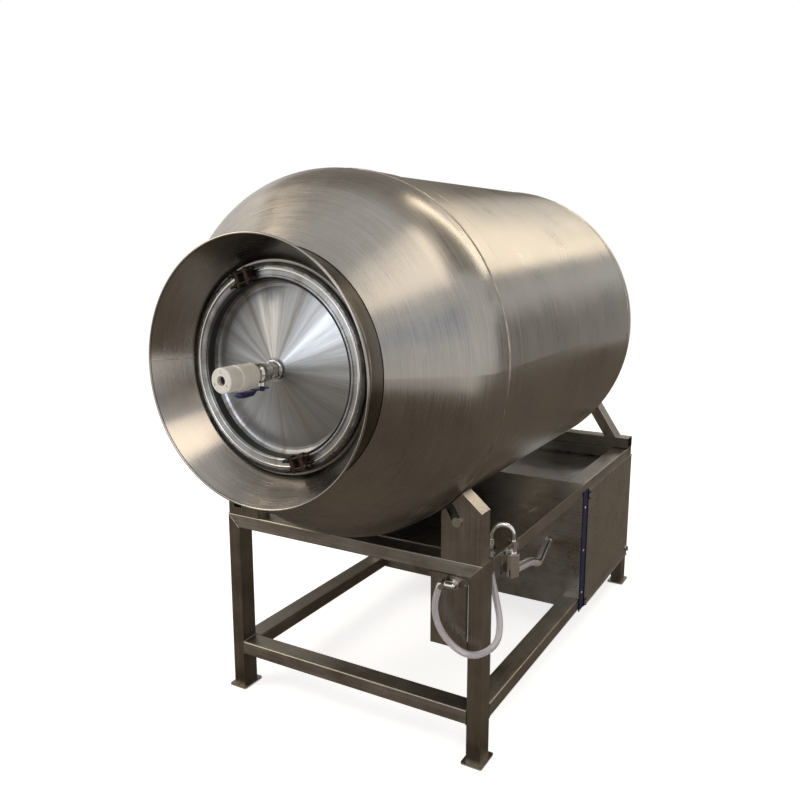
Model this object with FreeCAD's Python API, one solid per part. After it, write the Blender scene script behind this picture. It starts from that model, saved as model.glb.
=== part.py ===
import FreeCAD, Part
import math
import os

# Vacuum tumbler for meat: a tilting-free drum on two front rollers and one rear bearing, carried by a
# frame of 40 x 60 stainless tube. Millimetres. While it is built, X = 0 is the middle of the frame, Y = 0
# the middle of its length (the lid end is at -Y) and Z = 0 the floor. Every piece is moved at the end so
# that the origin lies under the middle of the whole machine.

# Frame of rectangular tube
FRAME_W = 820.0
FRAME_L = 1400.0
TUBE_BIG = 60.0
TUBE_SMALL = 40.0
TUBE_WALL = 2.0
TUBE_CORNER = 4.0
TOP_Z = 550.0
LOW_Z = 110.0
FOOT_W = 60.0
FOOT_L = 80.0
FOOT_T = 6.0

# Sheet work
SHEET = 2.0
DECK_REAR_Y = 97.0
COVER_Z = 503.0
DOOR_Z0 = 105.0
DOOR_Z1 = 517.0
STRIP_Y0 = 94.0
STRIP_Y1 = 145.0
HINGE_Y = 151.0
HINGE_X_OUT = 5.2
PIN_R = 2.5
RUN_FIT = 0.05

# Drum
DRUM_Z = 1043.0
DRUM_R = 462.0
DRUM_T = 4.0
DRUM_REAR_Y = 355.0
BAND_R = 466.0
BAND_Y0 = -699.0
BAND_Y1 = -621.0
HEAD_FLANGE = 36.0
HEAD_KNUCKLE_R = 150.0
MOUTH_R = 287.0
MOUTH_Y = -962.0
REAR_KNUCKLE_R = 70.0
REAR_HEAD_DEPTH = 100.0
HUB_R = 62.0
SHAFT_R = 35.0

# Neck, lid and clamp
NECK_IN_R = 216.0
NECK_SEAT_R = 236.0
NECK_SEAT_H = 4.0
NECK_DEPTH = 36.0
NECK_T = 5.0
GASKET_T = 2.7
SEAL_GAP = 0.3
LID_FLANGE_R = 238.0
LID_T = 3.0
LID_HOOP_R = 213.0
LID_FLOOR_R = 190.0
LID_RECESS = 34.0
LID_BOSS_R = 28.0
LID_APEX = 31.0
CLAMP_R = 245.0
CLAMP_LIP_R = 224.0
CLAMP_T = 4.0
CLAMP_LIP_T = 3.0
CLAMP_SPLIT = 4.0
CLAMP_ANGLE = 109.0
LUG_L = 70.0
LUG_R0 = 183.0
LUG_R1 = 233.0
LUG_H = 21.0
CLAMP_BOLT_R = 4.0
CLAMP_BOLT_L = 96.0

# Splash collar
COLLAR_ROOT_R = 284.0
COLLAR_RIM_R = 309.0
COLLAR_RIM_Y = -1057.0
COLLAR_T = 2.5
COLLAR_BEAD_R = 5.0

# Valve and rotary coupling on the drum's axis
NIPPLE_R = 13.0
VALVE_Y0 = -985.0
VALVE_Y1 = -1054.0
VALVE_BORE_R = 8.0
COUPLING_STEP_Y = -1090.0
COUPLING_TIP_Y = -1153.0
COUPLING_BACK_R = 26.5
COUPLING_FACE_R = 28.0

# Front rollers
ROLLER_R = 50.0
ROLLER_W = 38.0
ROLLER_GAP = 0.3
ROLLER_ANGLE = 40.9
AXLE_R = 12.5
HOUSING_X0 = 294.0
HOUSING_X1 = 404.0
HOUSING_Y0 = -700.0
HOUSING_Y1 = -650.0
HOUSING_EAVE_Z = 682.0
HOUSING_APEX_X = 349.0
HOUSING_APEX_Z = 728.0
HOUSING_T = 3.0
DRUM_CLEAR = 5.0

# Rear A-frame, bearing and drive
BASE_TUBE_H = 40.0
LEAN_DEG = 33.5
UPRIGHT_FOOT_X = 366.0
PLATE_T = 12.0
BEARING_T = 18.0
GEARBOX_W = 170.0
GEARBOX_Y0 = 494.0
WORM_DROP = 95.0
MOTOR_R = 66.0
MOTOR_L = 250.0
FAN_R = 56.0

# Hoses
SUCTION_HOSE_R = 8.5
SUCTION_BORE_R = 6.0
PUMP_HOSE_R = 12.0
PUMP_BORE_R = 9.0
FILTER_R = 17.0
FILTER_Z0 = 478.0
FILTER_Z1 = 542.0

HALF_W = FRAME_W / 2.0
HALF_L = FRAME_L / 2.0
FOOT_OVER = (FOOT_L - TUBE_BIG) / 2.0
SHIFT_Y = -(COUPLING_TIP_Y + HALF_L + FOOT_OVER) / 2.0
ROLLER_DIST = BAND_R + ROLLER_GAP + ROLLER_R
ROLLER_X = ROLLER_DIST * math.sin(math.radians(ROLLER_ANGLE))
ROLLER_Z = DRUM_Z - ROLLER_DIST * math.cos(math.radians(ROLLER_ANGLE))
ROLLER_Y = (HOUSING_Y0 + HOUSING_Y1) / 2.0
NECK_FACE_Y = MOUTH_Y - NECK_SEAT_H
GASKET_Y0 = NECK_FACE_Y - SEAL_GAP
LID_BACK_Y = GASKET_Y0 - GASKET_T
LID_FACE_Y = LID_BACK_Y - LID_T
CLAMP_FACE_Y = LID_FACE_Y - CLAMP_LIP_T
PLATE_Y0 = HALF_L - TUBE_BIG - PLATE_T
BEARING_Y0 = PLATE_Y0 - BEARING_T
WORM_Z = DRUM_Z - WORM_DROP
GEARBOX_MID_Y = (GEARBOX_Y0 + BEARING_Y0) / 2.0


def vec(x, y, z):
    return FreeCAD.Vector(x, y, z)


AXIS_X = vec(1, 0, 0)
AXIS_Y = vec(0, 1, 0)
AXIS_Z = vec(0, 0, 1)
DRUM_AXIS = vec(0, 0, DRUM_Z)


def box(x0, x1, y0, y1, z0, z1):
    return Part.makeBox(x1 - x0, y1 - y0, z1 - z0, vec(x0, y0, z0))


def rod(start, direction, radius, length):
    return Part.makeCylinder(radius, length, start, direction)


def tube(start, direction, radius, bore, length):
    return rod(start, direction, radius, length).cut(rod(start, direction, bore, length))


def prism(points, push):
    """Extrudes the closed outline through points by the vector push."""
    wire = Part.makePolygon(points + [points[0]])
    return Part.Face(wire).extrude(push)


def hex_bar(start, direction, flats, length):
    """A hexagonal bar, across flats given, along direction."""
    side = AXIS_Z if abs(direction.z) < 0.9 else AXIS_X
    side = side - direction * side.dot(direction)
    side.normalize()
    other = direction.cross(side)
    radius = flats / math.sqrt(3.0)
    points = []
    for i in range(6):
        a = math.radians(60.0 * i)
        points.append(start + side * (radius * math.cos(a)) + other * (radius * math.sin(a)))
    push = FreeCAD.Vector(direction)
    push.multiply(length)
    return prism(points, push)


def fuse(shapes):
    result = shapes[0]
    for shape in shapes[1:]:
        result = result.fuse(shape)
    return result.removeSplitter()


def cut(shape, tools):
    for tool in tools:
        shape = shape.cut(tool)
    return shape


def mirror_x(shape):
    return shape.mirror(vec(0, 0, 0), AXIS_X)


def export(name, shape):
    placed = shape.copy()
    placed.translate(vec(0, SHIFT_Y, 0))
    placed.exportStep("parts/" + name + ".step")


def turned(points):
    """Revolves an outline of (radius, y) points about the drum's axis."""
    wire = Part.makePolygon([vec(r, y, DRUM_Z) for r, y in points + [points[0]]])
    return Part.Face(wire).revolve(DRUM_AXIS, AXIS_Y, 360)


def turned_ring(radius, y, section):
    """A round bar bent into a hoop about the drum's axis."""
    circle = Part.Circle(vec(radius, y, DRUM_Z), AXIS_Z, section)
    wire = Part.Wire([circle.toShape()])
    return Part.Face(wire).revolve(DRUM_AXIS, AXIS_Y, 360)


def rect_tube(x0, x1, y0, y1, z0, z1, axis):
    """A rectangular tube with rounded edges; its open length runs along axis."""
    w = TUBE_WALL
    outer = box(x0, x1, y0, y1, z0, z1)
    long_edges = []
    for edge in outer.Edges:
        run = edge.Vertexes[1].Point - edge.Vertexes[0].Point
        run.normalize()
        if abs(run.dot(axis)) > 0.99:
            long_edges.append(edge)
    outer = outer.makeFillet(TUBE_CORNER, long_edges)
    if axis is AXIS_X:
        inner = box(x0 - 1, x1 + 1, y0 + w, y1 - w, z0 + w, z1 - w)
    elif axis is AXIS_Y:
        inner = box(x0 + w, x1 - w, y0 - 1, y1 + 1, z0 + w, z1 - w)
    else:
        inner = box(x0 + w, x1 - w, y0 + w, y1 - w, z0 - 1, z1 + 1)
    return outer.cut(inner)


def mitre_wedge(y0, above):
    """The half of the right top corner above (or below) its 45 degree weld line."""
    x_out = HALF_W
    x_in = HALF_W - TUBE_SMALL
    z_in = TOP_Z - TUBE_SMALL
    far = 100.0
    if above:
        points = [(x_in - far, z_in - far), (x_out + far, TOP_Z + far), (x_in - far, TOP_Z + far)]
    else:
        points = [(x_in - far, z_in - far), (x_out + far, TOP_Z + far), (x_out + far, z_in - far)]
    outline = [vec(x, y0 - 1, z) for x, z in points]
    return prism(outline, vec(0, TUBE_BIG + 2, 0))


def portal(y0):
    """Right leg and top rail of one end frame, mitred together at the top corner."""
    x_in = HALF_W - TUBE_SMALL
    leg = rect_tube(x_in, HALF_W, y0, y0 + TUBE_BIG, FOOT_T, TOP_Z, AXIS_Z)
    leg = leg.cut(mitre_wedge(y0, True))
    rail = rect_tube(-HALF_W, HALF_W, y0, y0 + TUBE_BIG, TOP_Z - TUBE_SMALL, TOP_Z, AXIS_X)
    wedge = mitre_wedge(y0, False)
    rail = rail.cut(wedge).cut(mirror_x(wedge))
    return leg, rail


def frame_tubes():
    y_front = -HALF_L
    y_rear = HALF_L - TUBE_BIG
    x_in = HALF_W - TUBE_SMALL
    for name, y0 in (("front", y_front), ("rear", y_rear)):
        leg, rail = portal(y0)
        export("leg_" + name + "_right", leg)
        export("leg_" + name + "_left", mirror_x(leg))
        export("rail_top_" + name, rail)
        low = rect_tube(-x_in, x_in, y0, y0 + TUBE_BIG, LOW_Z, LOW_Z + TUBE_SMALL, AXIS_X)
        export("rail_low_" + name, low)
    y0 = y_front + TUBE_BIG
    x0 = HALF_W - TUBE_BIG
    top = rect_tube(x0, HALF_W, y0, y_rear, TOP_Z - TUBE_SMALL, TOP_Z, AXIS_Y)
    low = rect_tube(x0, HALF_W, y0, y_rear, LOW_Z, LOW_Z + TUBE_SMALL, AXIS_Y)
    hole = rod(vec(HOSE_HOLE[0], HOSE_HOLE[1], TOP_Z - TUBE_SMALL - 1), AXIS_Z, HOSE_HOLE_R, TUBE_SMALL + 2)
    export("rail_top_right", top.cut(hole))
    export("rail_top_left", mirror_x(top))
    export("rail_low_right", low)
    export("rail_low_left", mirror_x(low))
    feet = []
    for side in (-1, 1):
        for y_mid in (y_front + TUBE_BIG / 2, y_rear + TUBE_BIG / 2):
            x_mid = side * (HALF_W - TUBE_SMALL / 2)
            x_a = x_mid - FOOT_W / 2
            y_a = y_mid - FOOT_L / 2
            plate = box(x_a, x_a + FOOT_W, y_a, y_a + FOOT_L, 0, FOOT_T)
            corners = [e for e in plate.Edges if abs(e.Vertexes[1].Point.z - e.Vertexes[0].Point.z) > 1]
            plate = plate.makeFillet(5.0, corners)
            x_hole = x_mid
            for y_hole in (y_a + 5.5, y_a + FOOT_L - 5.5):
                plate = plate.cut(rod(vec(x_hole, y_hole, -1), AXIS_Z, 3.0, FOOT_T + 2))
            feet.append(plate)
    export("foot_plates", Part.makeCompound(feet))


# Suction hose: from the elbow on the small box, round the right front leg, up through the rail and deck
HOSE_HOLE = (374.0, -577.0)
HOSE_HOLE_R = 14.0
SUCTION_ROUTE = [
    (297.6, -716.9, 477.5),
    (284.0, -722.0, 440.0),
    (300.0, -727.0, 375.0),
    (350.0, -730.0, 330.0),
    (404.0, -728.0, 320.0),
    (447.0, -690.0, 345.0),
    (436.0, -642.0, 385.0),
    (404.0, -606.0, 438.0),
    (374.0, -577.0, 500.0),
    (374.0, -577.0, 562.0),
]
# Pump hose: from the filter bowl outside the right rail back to the cabinet's front panel
PUMP_ROUTE = [
    (428.0, -532.0, 489.0),
    (424.0, -455.0, 474.0),
    (404.0, -345.0, 440.0),
    (372.0, -205.0, 376.0),
    (330.0, -65.0, 346.0),
    (300.0, 72.0, 337.0),
]
FILTER = (428.0, -553.0)
BULKHEAD = (296.5, DECK_REAR_Y, 336.0)
BULKHEAD_R = 9.0


def bend_radius(before, corner, after):
    run_a = (corner - before).Length
    run_b = (after - corner).Length
    turn = (corner - before).getAngle(after - corner)
    return 0.45 * min(run_a, run_b) / math.tan(turn / 2.0), turn


def hose(route, outer_r, bore_r, name):
    """A hose of round section: straight runs with a tangent arc at each route point."""
    points = [vec(*p) for p in route]
    edges = []
    last = points[0]
    radii = []
    for i in range(1, len(points) - 1):
        radius, turn = bend_radius(points[i - 1], points[i], points[i + 1])
        radii.append(round(radius))
        back = points[i - 1] - points[i]
        ahead = points[i + 1] - points[i]
        back.normalize()
        ahead.normalize()
        reach = radius * math.tan(turn / 2.0)
        start = points[i] + back * reach
        end = points[i] + ahead * reach
        centre_way = back + ahead
        centre_way.normalize()
        middle = points[i] + centre_way * (radius / math.cos(turn / 2.0) - radius)
        if (start - last).Length > 1e-6:
            edges.append(Part.LineSegment(last, start).toShape())
        edges.append(Part.Arc(start, middle, end).toShape())
        last = end
    edges.append(Part.LineSegment(last, points[-1]).toShape())
    path = Part.Wire(edges)
    heading = points[1] - points[0]
    skins = []
    for radius in (outer_r, bore_r):
        ring = Part.Wire([Part.Circle(points[0], heading, radius).toShape()])
        skins.append(path.makePipeShell([ring], True, False))
    pipe = skins[0].cut(skins[1])
    section = math.pi * (outer_r ** 2 - bore_r ** 2)
    print(name, "bend radii", radii, "volume ratio", round(pipe.Volume / (section * path.Length), 3))
    return pipe


def deck():
    """Deck sheet over the side rails with a finger slot and its rear edge folded down."""
    y0 = -HALF_L + TUBE_BIG
    z0 = TOP_Z
    sheet = box(-HALF_W, HALF_W, y0, DECK_REAR_Y, z0, z0 + SHEET)
    slot = box(357, 373, -254, -208, z0 - 1, z0 + SHEET + 1)
    ends = [rod(vec(365, y, z0 - 1), AXIS_Z, 8.0, SHEET + 2) for y in (-254, -208)]
    hole = rod(vec(HOSE_HOLE[0], HOSE_HOLE[1], z0 - 1), AXIS_Z, HOSE_HOLE_R, SHEET + 2)
    x_in = HALF_W - TUBE_BIG
    fold = box(-x_in, x_in, DECK_REAR_Y - SHEET, DECK_REAR_Y, z0 - 30, z0)
    sheet = cut(sheet, [slot, hole] + ends).fuse(fold)
    export("deck_sheet", sheet.removeSplitter())


def panel_outline(side_x, y, low, high):
    """Panel across the frame, notched round the side rails at its top and bottom corners."""
    x_in = HALF_W - TUBE_BIG
    half = [
        (x_in, low), (x_in, LOW_Z + TUBE_SMALL), (side_x, LOW_Z + TUBE_SMALL),
        (side_x, TOP_Z - TUBE_SMALL), (x_in, TOP_Z - TUBE_SMALL), (x_in, high),
    ]
    points = half + [(-x, z) for x, z in reversed(half)]
    outline = [vec(x, y, z) for x, z in points]
    return prism(outline, vec(0, SHEET, 0))


def cabinet():
    y_front = DECK_REAR_Y
    y_rear = HALF_L
    panel = panel_outline(HALF_W, y_front, LOW_Z, TOP_Z)
    panel = panel.cut(rod(vec(BULKHEAD[0], y_front - 1, BULKHEAD[2]), AXIS_Y, BULKHEAD_R, SHEET + 2))
    export("cabinet_front_panel", panel)
    y_in = HALF_L - TUBE_BIG
    cover = box(-HALF_W, HALF_W, y_front + SHEET, y_in, COVER_Z, COVER_Z + SHEET)
    lip = TOP_Z - TUBE_SMALL
    for side in (-1, 1):
        x_a = side * HALF_W
        x_b = side * (HALF_W - SHEET)
        fold = box(min(x_a, x_b), max(x_a, x_b), y_front + SHEET, y_in, COVER_Z + SHEET, lip)
        cover = cover.fuse(fold)
    export("cabinet_top_cover", cover.removeSplitter())
    x_in = HALF_W - TUBE_SMALL
    z_in = TOP_Z - TUBE_SMALL
    rear = box(-x_in, x_in, y_in + 6, y_in + 6 + SHEET, LOW_Z + TUBE_SMALL, z_in)
    louvres = []
    for i in range(7):
        z = 210.0 + 26.0 * i
        louvres.append(box(-150, 150, y_in + 5, y_in + 9, z, z + 7))
    export("cabinet_rear_panel", cut(rear, louvres))
    left = box(-HALF_W - SHEET, -HALF_W, STRIP_Y0, y_rear, DOOR_Z0, DOOR_Z1)
    export("cabinet_left_panel", left)
    floor_y0 = y_front + SHEET
    x_f = HALF_W - TUBE_BIG
    floor = box(-x_f, x_f, floor_y0, y_in, LOW_Z + 10, LOW_Z + 10 + SHEET)
    for side in (-1, 1):
        x_a = side * x_f
        x_b = side * (x_f - SHEET)
        fold = box(min(x_a, x_b), max(x_a, x_b), floor_y0, y_in, LOW_Z + 10, LOW_Z + TUBE_SMALL)
        floor = floor.fuse(fold)
    export("cabinet_floor", floor.removeSplitter())


def side_door():
    """Right side door on two lift-off hinges held by the dark post strip in front of it."""
    x0 = HALF_W + 0.5
    hinge_x = HALF_W + HINGE_X_OUT
    door = box(x0, x0 + SHEET, HINGE_Y, HALF_L, DOOR_Z0, DOOR_Z1)
    strip = box(HALF_W, HALF_W + SHEET, STRIP_Y0, STRIP_Y1, DOOR_Z0, DOOR_Z1 + 8)
    for y in (STRIP_Y0, STRIP_Y1 - SHEET):
        strip = strip.fuse(box(HALF_W, HALF_W + 4.5, y, y + SHEET, DOOR_Z0, DOOR_Z1 + 8))
    for z in (DOOR_Z0 + 4, DOOR_Z1 - 28):
        ears = []
        for dz in (0.0, 20.0):
            ear = rod(vec(hinge_x, HINGE_Y, z + dz), AXIS_Z, 5.0, 4.0)
            arm = box(HALF_W + SHEET, HALF_W + 6, STRIP_Y1 - SHEET, HINGE_Y, z + dz, z + dz + 4)
            ears.append(ear.fuse(arm))
        pin = rod(vec(hinge_x, HINGE_Y, z), AXIS_Z, PIN_R, 24.0)
        strip = strip.fuse(ears[0]).fuse(ears[1]).fuse(pin)
        gap = box(HALF_W - 1, x0 + SHEET + 1, HINGE_Y - 1, HINGE_Y + 7, z - 1, z + 25)
        door = door.cut(gap)
        eye = rod(vec(hinge_x, HINGE_Y, z + 4.3), AXIS_Z, 4.6, 15.4)
        leaf = box(x0, x0 + SHEET, HINGE_Y, HINGE_Y + 9, z + 4.3, z + 19.7)
        bore = rod(vec(hinge_x, HINGE_Y, z), AXIS_Z, PIN_R + RUN_FIT, 24.0)
        door = door.fuse(eye.fuse(leaf).cut(bore))
    latch_y = HALF_L - 12.0
    latch_z = DOOR_Z0 + 28.0
    door = door.cut(rod(vec(x0 - 1, latch_y, latch_z), AXIS_X, 4.0 + RUN_FIT, 5))
    # folded edges on the outside give the bright top and bottom lines of the door
    for z in (DOOR_Z0, DOOR_Z1 - SHEET):
        door = door.fuse(box(x0, x0 + 5.5, HINGE_Y + 8, HALF_L, z, z + SHEET))
    export("side_door", door.removeSplitter())
    export("door_post_strip", strip.removeSplitter())
    spindle = rod(vec(x0 - 0.2, latch_y, latch_z), AXIS_X, 4.0, SHEET + 3.2)
    knob = rod(vec(x0 + SHEET + 0.3, latch_y, latch_z), AXIS_X, 9.0, 2.5)
    wing = box(x0 + SHEET + 2.8, x0 + SHEET + 9, latch_y - 2.5, latch_y + 2.5, latch_z - 9, latch_z + 9)
    export("door_latch", fuse([spindle, knob, wing]))


def roller_housings():
    """Folded boxes on the front rail; the inner side is open to the drum, the axle sits in a slot."""
    y0 = HOUSING_Y0
    y1 = HOUSING_Y1
    t = HOUSING_T
    base = TOP_Z
    outline = [
        (HOUSING_X0, base), (HOUSING_X1, base), (HOUSING_X1, HOUSING_EAVE_Z),
        (HOUSING_APEX_X, HOUSING_APEX_Z), (HOUSING_X0, HOUSING_EAVE_Z),
    ]
    slot_dir = vec(-0.518, 0, 0.855)
    slot_len = 38.0
    axle = vec(ROLLER_X, 0, ROLLER_Z)
    end = axle + slot_dir * slot_len
    across = vec(slot_dir.z, 0, -slot_dir.x) * AXLE_R
    plates = []
    for y in (y0, y1 - t):
        plate = prism([vec(x, y, z) for x, z in outline], vec(0, t, 0))
        far = [axle + across, end + across, end - across, axle - across]
        slot = prism([vec(p.x, y - 1, p.z) for p in far], vec(0, t + 2, 0))
        for c in (axle, end):
            slot = slot.fuse(rod(vec(c.x, y - 1, c.z), AXIS_Y, AXLE_R, t + 2))
        plates.append(plate.cut(slot))
    wall = box(HOUSING_X1 - t, HOUSING_X1, y0, y1, base, HOUSING_EAVE_Z)
    rise = HOUSING_APEX_Z - HOUSING_EAVE_Z
    run = HOUSING_X1 - HOUSING_APEX_X
    slope = math.hypot(rise, run)
    drop_x = t * rise / slope
    drop_z = t * run / slope
    roof = prism([
        vec(HOUSING_X1, y0, HOUSING_EAVE_Z),
        vec(HOUSING_APEX_X, y0, HOUSING_APEX_Z),
        vec(HOUSING_APEX_X - drop_x, y0, HOUSING_APEX_Z - drop_z),
        vec(HOUSING_X1 - t, y0, HOUSING_EAVE_Z - t),
    ], vec(0, y1 - y0, 0))
    # stops outside the slot keep the axle from sliding along Y
    housing = fuse(plates + [wall, roof])
    sweep = rod(vec(0, y0 - 1, DRUM_Z), AXIS_Y, BAND_R + DRUM_CLEAR, y1 - y0 + 2)
    housing = housing.cut(sweep)
    export("roller_housing_right", housing.removeSplitter())
    left = mirror_x(housing)
    window = box(-385, -358, y0 - 1, y0 + t + 1, 573, 622)
    export("roller_housing_left", left.cut(window).removeSplitter())
    axles = []
    for side in (-1, 1):
        start = vec(side * ROLLER_X, y0 - 6, ROLLER_Z)
        axles.append(rod(start, AXIS_Y, AXLE_R, y1 - y0 + 12))
    export("roller_axles", Part.makeCompound(axles))


def roller(side):
    """Crowned wheel with a hub groove each side, running on its axle."""
    mid = vec(side * ROLLER_X, ROLLER_Y, ROLLER_Z)
    w = ROLLER_W / 2.0
    bore = AXLE_R + RUN_FIT
    r = ROLLER_R
    points = [
        (bore, -w - 2), (22, -w - 2), (22, -w + 5), (38, -w + 5), (38, -w), (r - 2, -w), (r, -w + 2),
        (r, w - 2), (r - 2, w), (38, w), (38, w - 5), (22, w - 5), (22, w + 2), (bore, w + 2),
    ]
    wire = Part.makePolygon([mid + vec(a, b, 0) for a, b in points + [points[0]]])
    return Part.Face(wire).revolve(mid, AXIS_Y, 360)


def head_outline(start_r, start_y, flange, knuckle, end_r, end_y, thick, way):
    """Sheet section of a dished end: short straight flange, knuckle arc, then a straight cone.

    way is -1 for the front end (towards -Y) and +1 for the rear end.
    """
    centre_r = start_r - knuckle
    centre_u = flange
    end_u = abs(end_y - start_y)
    du = end_u - centre_u
    dr = end_r - centre_r
    reach = math.hypot(du, dr)
    angle = math.atan2(dr, du) + math.acos(knuckle / reach)
    nu = math.cos(angle)
    nr = math.sin(angle)

    def at(radius, u):
        return vec(radius, start_y + way * u, DRUM_Z)

    def arc(radius, first, last):
        mid = (first + last) / 2.0
        spots = []
        for a in (first, mid, last):
            spots.append(at(centre_r + radius * math.sin(a), centre_u + radius * math.cos(a)))
        return Part.Arc(*spots).toShape()

    right = math.pi / 2
    inner = knuckle - thick
    tan_out = at(centre_r + knuckle * nr, centre_u + knuckle * nu)
    tan_in = at(centre_r + inner * nr, centre_u + inner * nu)
    tip_out = at(end_r, end_u)
    tip_in = at(end_r - thick * nr, end_u - thick * nu)
    edges = [
        Part.LineSegment(at(start_r, 0), at(start_r, flange)).toShape(),
        arc(knuckle, right, angle),
        Part.LineSegment(tan_out, tip_out).toShape(),
        Part.LineSegment(tip_out, tip_in).toShape(),
        Part.LineSegment(tip_in, tan_in).toShape(),
        arc(inner, angle, right),
        Part.LineSegment(at(start_r - thick, flange), at(start_r - thick, 0)).toShape(),
        Part.LineSegment(at(start_r - thick, 0), at(start_r, 0)).toShape(),
    ]
    return Part.Face(Part.Wire(edges)).revolve(DRUM_AXIS, AXIS_Y, 360)


def drum():
    shell = turned([
        (DRUM_R - DRUM_T, BAND_Y0), (DRUM_R, BAND_Y0), (DRUM_R, DRUM_REAR_Y), (DRUM_R - DRUM_T, DRUM_REAR_Y),
    ])
    export("drum_cylinder", shell)
    band = turned([
        (DRUM_R, BAND_Y0), (BAND_R - 1, BAND_Y0), (BAND_R, BAND_Y0 + 1),
        (BAND_R, BAND_Y1 - 1), (BAND_R - 1, BAND_Y1), (DRUM_R, BAND_Y1),
    ])
    export("track_band", band)
    front = head_outline(BAND_R, BAND_Y0, HEAD_FLANGE, HEAD_KNUCKLE_R, MOUTH_R, MOUTH_Y, DRUM_T, -1)
    export("front_head", front)
    rear_end = DRUM_REAR_Y + REAR_HEAD_DEPTH
    rear = head_outline(DRUM_R, DRUM_REAR_Y, 20.0, REAR_KNUCKLE_R, HUB_R, rear_end, DRUM_T, 1)
    export("rear_head", rear)
    hub = turned([
        (0, rear_end - 30), (HUB_R - 4, rear_end - 30), (HUB_R - 4, rear_end + 20), (SHAFT_R, rear_end + 28),
        (SHAFT_R, PLATE_Y0 + 4), (SHAFT_R - 2, PLATE_Y0 + 6), (0, PLATE_Y0 + 6),
    ])
    flange = turned([
        (HUB_R - 4, rear_end), (HUB_R, rear_end), (HUB_R + 22, rear_end - 0.5),
        (HUB_R + 22, rear_end + 7.7), (HUB_R - 4, rear_end + 8),
    ])
    export("drive_shaft", fuse([hub, flange]))


def blades():
    """Three folded lifting blades, leaning and welded to the inside of the shell."""
    wall_r = DRUM_R - DRUM_T
    section = [(0, wall_r + 10), (5, wall_r + 10), (5, 372), (42, 330), (38, 327), (0, 370)]
    keep = rod(vec(0, -640, DRUM_Z), AXIS_Y, wall_r - 0.1, 960)
    shapes = []
    for i in range(3):
        outline = [vec(x, -640, DRUM_Z + r) for x, r in section]
        blade = prism(outline, vec(0, 960, 0))
        ramp = prism([
            vec(-10, -641, DRUM_Z + 250), vec(-10, -560, DRUM_Z + 250),
            vec(-10, -641, DRUM_Z + wall_r),
        ], vec(80, 0, 0))
        blade = blade.cut(ramp)
        blade.rotate(DRUM_AXIS, AXIS_Y, 120.0 * i + 40.0)
        shapes.append(blade.common(keep))
    export("mixing_blades", Part.makeCompound(shapes))


def neck_and_collar():
    back = MOUTH_Y + 4.0
    neck = turned([
        (NECK_IN_R, MOUTH_Y + NECK_DEPTH), (NECK_IN_R + NECK_T, MOUTH_Y + NECK_DEPTH),
        (NECK_IN_R + NECK_T, back), (COLLAR_ROOT_R, back), (COLLAR_ROOT_R, MOUTH_Y),
        (NECK_SEAT_R, MOUTH_Y), (NECK_SEAT_R, NECK_FACE_Y), (NECK_IN_R, NECK_FACE_Y),
    ])
    export("neck_ring", neck)
    t = COLLAR_T
    cone = turned([
        (COLLAR_ROOT_R - t, MOUTH_Y), (COLLAR_ROOT_R, MOUTH_Y), (COLLAR_RIM_R - t / 2, COLLAR_RIM_Y),
        (COLLAR_RIM_R - t * 1.5, COLLAR_RIM_Y),
    ])
    bead = turned_ring(COLLAR_RIM_R - t, COLLAR_RIM_Y, COLLAR_BEAD_R)
    export("splash_collar", fuse([cone, bead]))


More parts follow.
